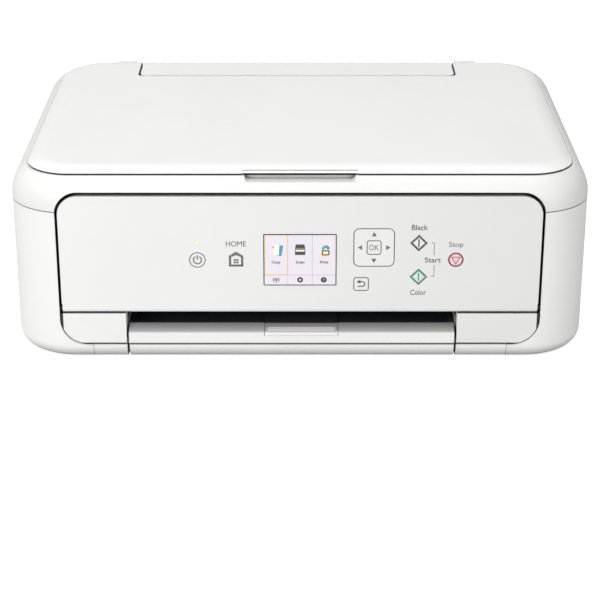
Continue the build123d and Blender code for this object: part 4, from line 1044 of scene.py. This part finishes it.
def soft_light(name, place, aim, size, power):
    """A square soft light that looks at a point."""
    away = [place[i] - aim[i] for i in range(3)]
    flat = math.hypot(away[0], away[1])
    bpy.ops.object.light_add(
        type="AREA",
        location=place,
        rotation=(math.atan2(flat, away[2]), 0, math.atan2(away[0], -away[1])),
    )
    light = bpy.context.object
    light.name = name
    light.data.shape = "RECTANGLE"
    light.data.size = size[0]
    light.data.size_y = size[1]
    light.data.energy = power
    return light


def light_the_table():
    """A plain studio: broad lights in front and above, and a weak one from the right."""
    soft_light("front_light", (-1.15, -2.1, 1.4), (-0.05, 0, 0.08), (1.8, 1.4), 46)
    soft_light("top_light", (-0.35, 0.1, 2.3), (0, 0, 0.1), (1.7, 1.7), 30)
    soft_light("right_fill", (1.9, -1.5, 0.7), (0, 0, 0.08), (1.2, 1.2), 9)
    world = bpy.data.worlds.new("studio_air")
    world.use_nodes = True
    air = world.node_tree.nodes["Background"]
    air.inputs["Color"].default_value = (1.0, 1.0, 1.0, 1.0)
    air.inputs["Strength"].default_value = air_strength
    bpy.context.scene.world = world


def lay_floor():
    """A pale floor that shows nearly white to the camera."""
    bpy.ops.mesh.primitive_plane_add(size=14, location=(0, 2.0, -0.0002))
    floor = settle()
    floor.name = "table_floor"
    finish, tree, shader = opened_finish("pale_floor")
    where = node(tree, "ShaderNodeTexCoord")
    cloud = node(tree, "ShaderNodeTexNoise", {"Scale": 1.5, "Detail": 2.0})
    tree.links.new(where.outputs["Object"], cloud.inputs["Vector"])
    shade = mixed(
        tree, ranged(tree, cloud.outputs["Fac"], 0.0, 1.0), (0.66, 0.66, 0.66), (0.68, 0.68, 0.68)
    )
    seen = node(tree, "ShaderNodeLightPath")
    strength = node(tree, "ShaderNodeMath", {1: floor_glow}, operation="MULTIPLY")
    tree.links.new(shade, shader.inputs["Base Color"])
    tree.links.new(shade, shader.inputs["Emission Color"])
    tree.links.new(seen.outputs["Is Camera Ray"], strength.inputs[0])
    tree.links.new(strength.outputs[0], shader.inputs["Emission Strength"])
    shader.inputs["Roughness"].default_value = 0.8
    shader.inputs["Specular IOR Level"].default_value = 0.1
    coat(floor, finish)


def place_camera():
    """The photograph's viewpoint: far off and a little above, looking down at the front."""
    bpy.ops.object.camera_add(location=camera_place, rotation=(camera_tilt, 0, 0))
    camera = bpy.context.object
    camera.name = "viewpoint"
    camera.data.sensor_width = 36.0
    camera.data.lens = camera_lens
    bpy.context.scene.camera = camera
    bpy.context.scene.view_settings.view_transform = "Standard"


place_camera()
light_the_table()
lay_floor()
dress_solids()

make_power_mark()
make_home_mark()
make_pad_arrows()
make_back_mark()
make_start_mark("black_start_mark", "black_button", black_middle, ink_black, 1.0)
make_start_mark("color_start_mark", "color_button", color_middle, ink_green, 0.85)
make_stop_mark()
make_ok_mark()
make_panel_words()
make_bracket()

make_tab_grip()
make_screen_ground()
make_screen_border()
make_screen_grid()
make_copy_icon()
make_scan_icon()
make_print_icon()
make_lower_icons()
make_screen_words()

drop_selection()
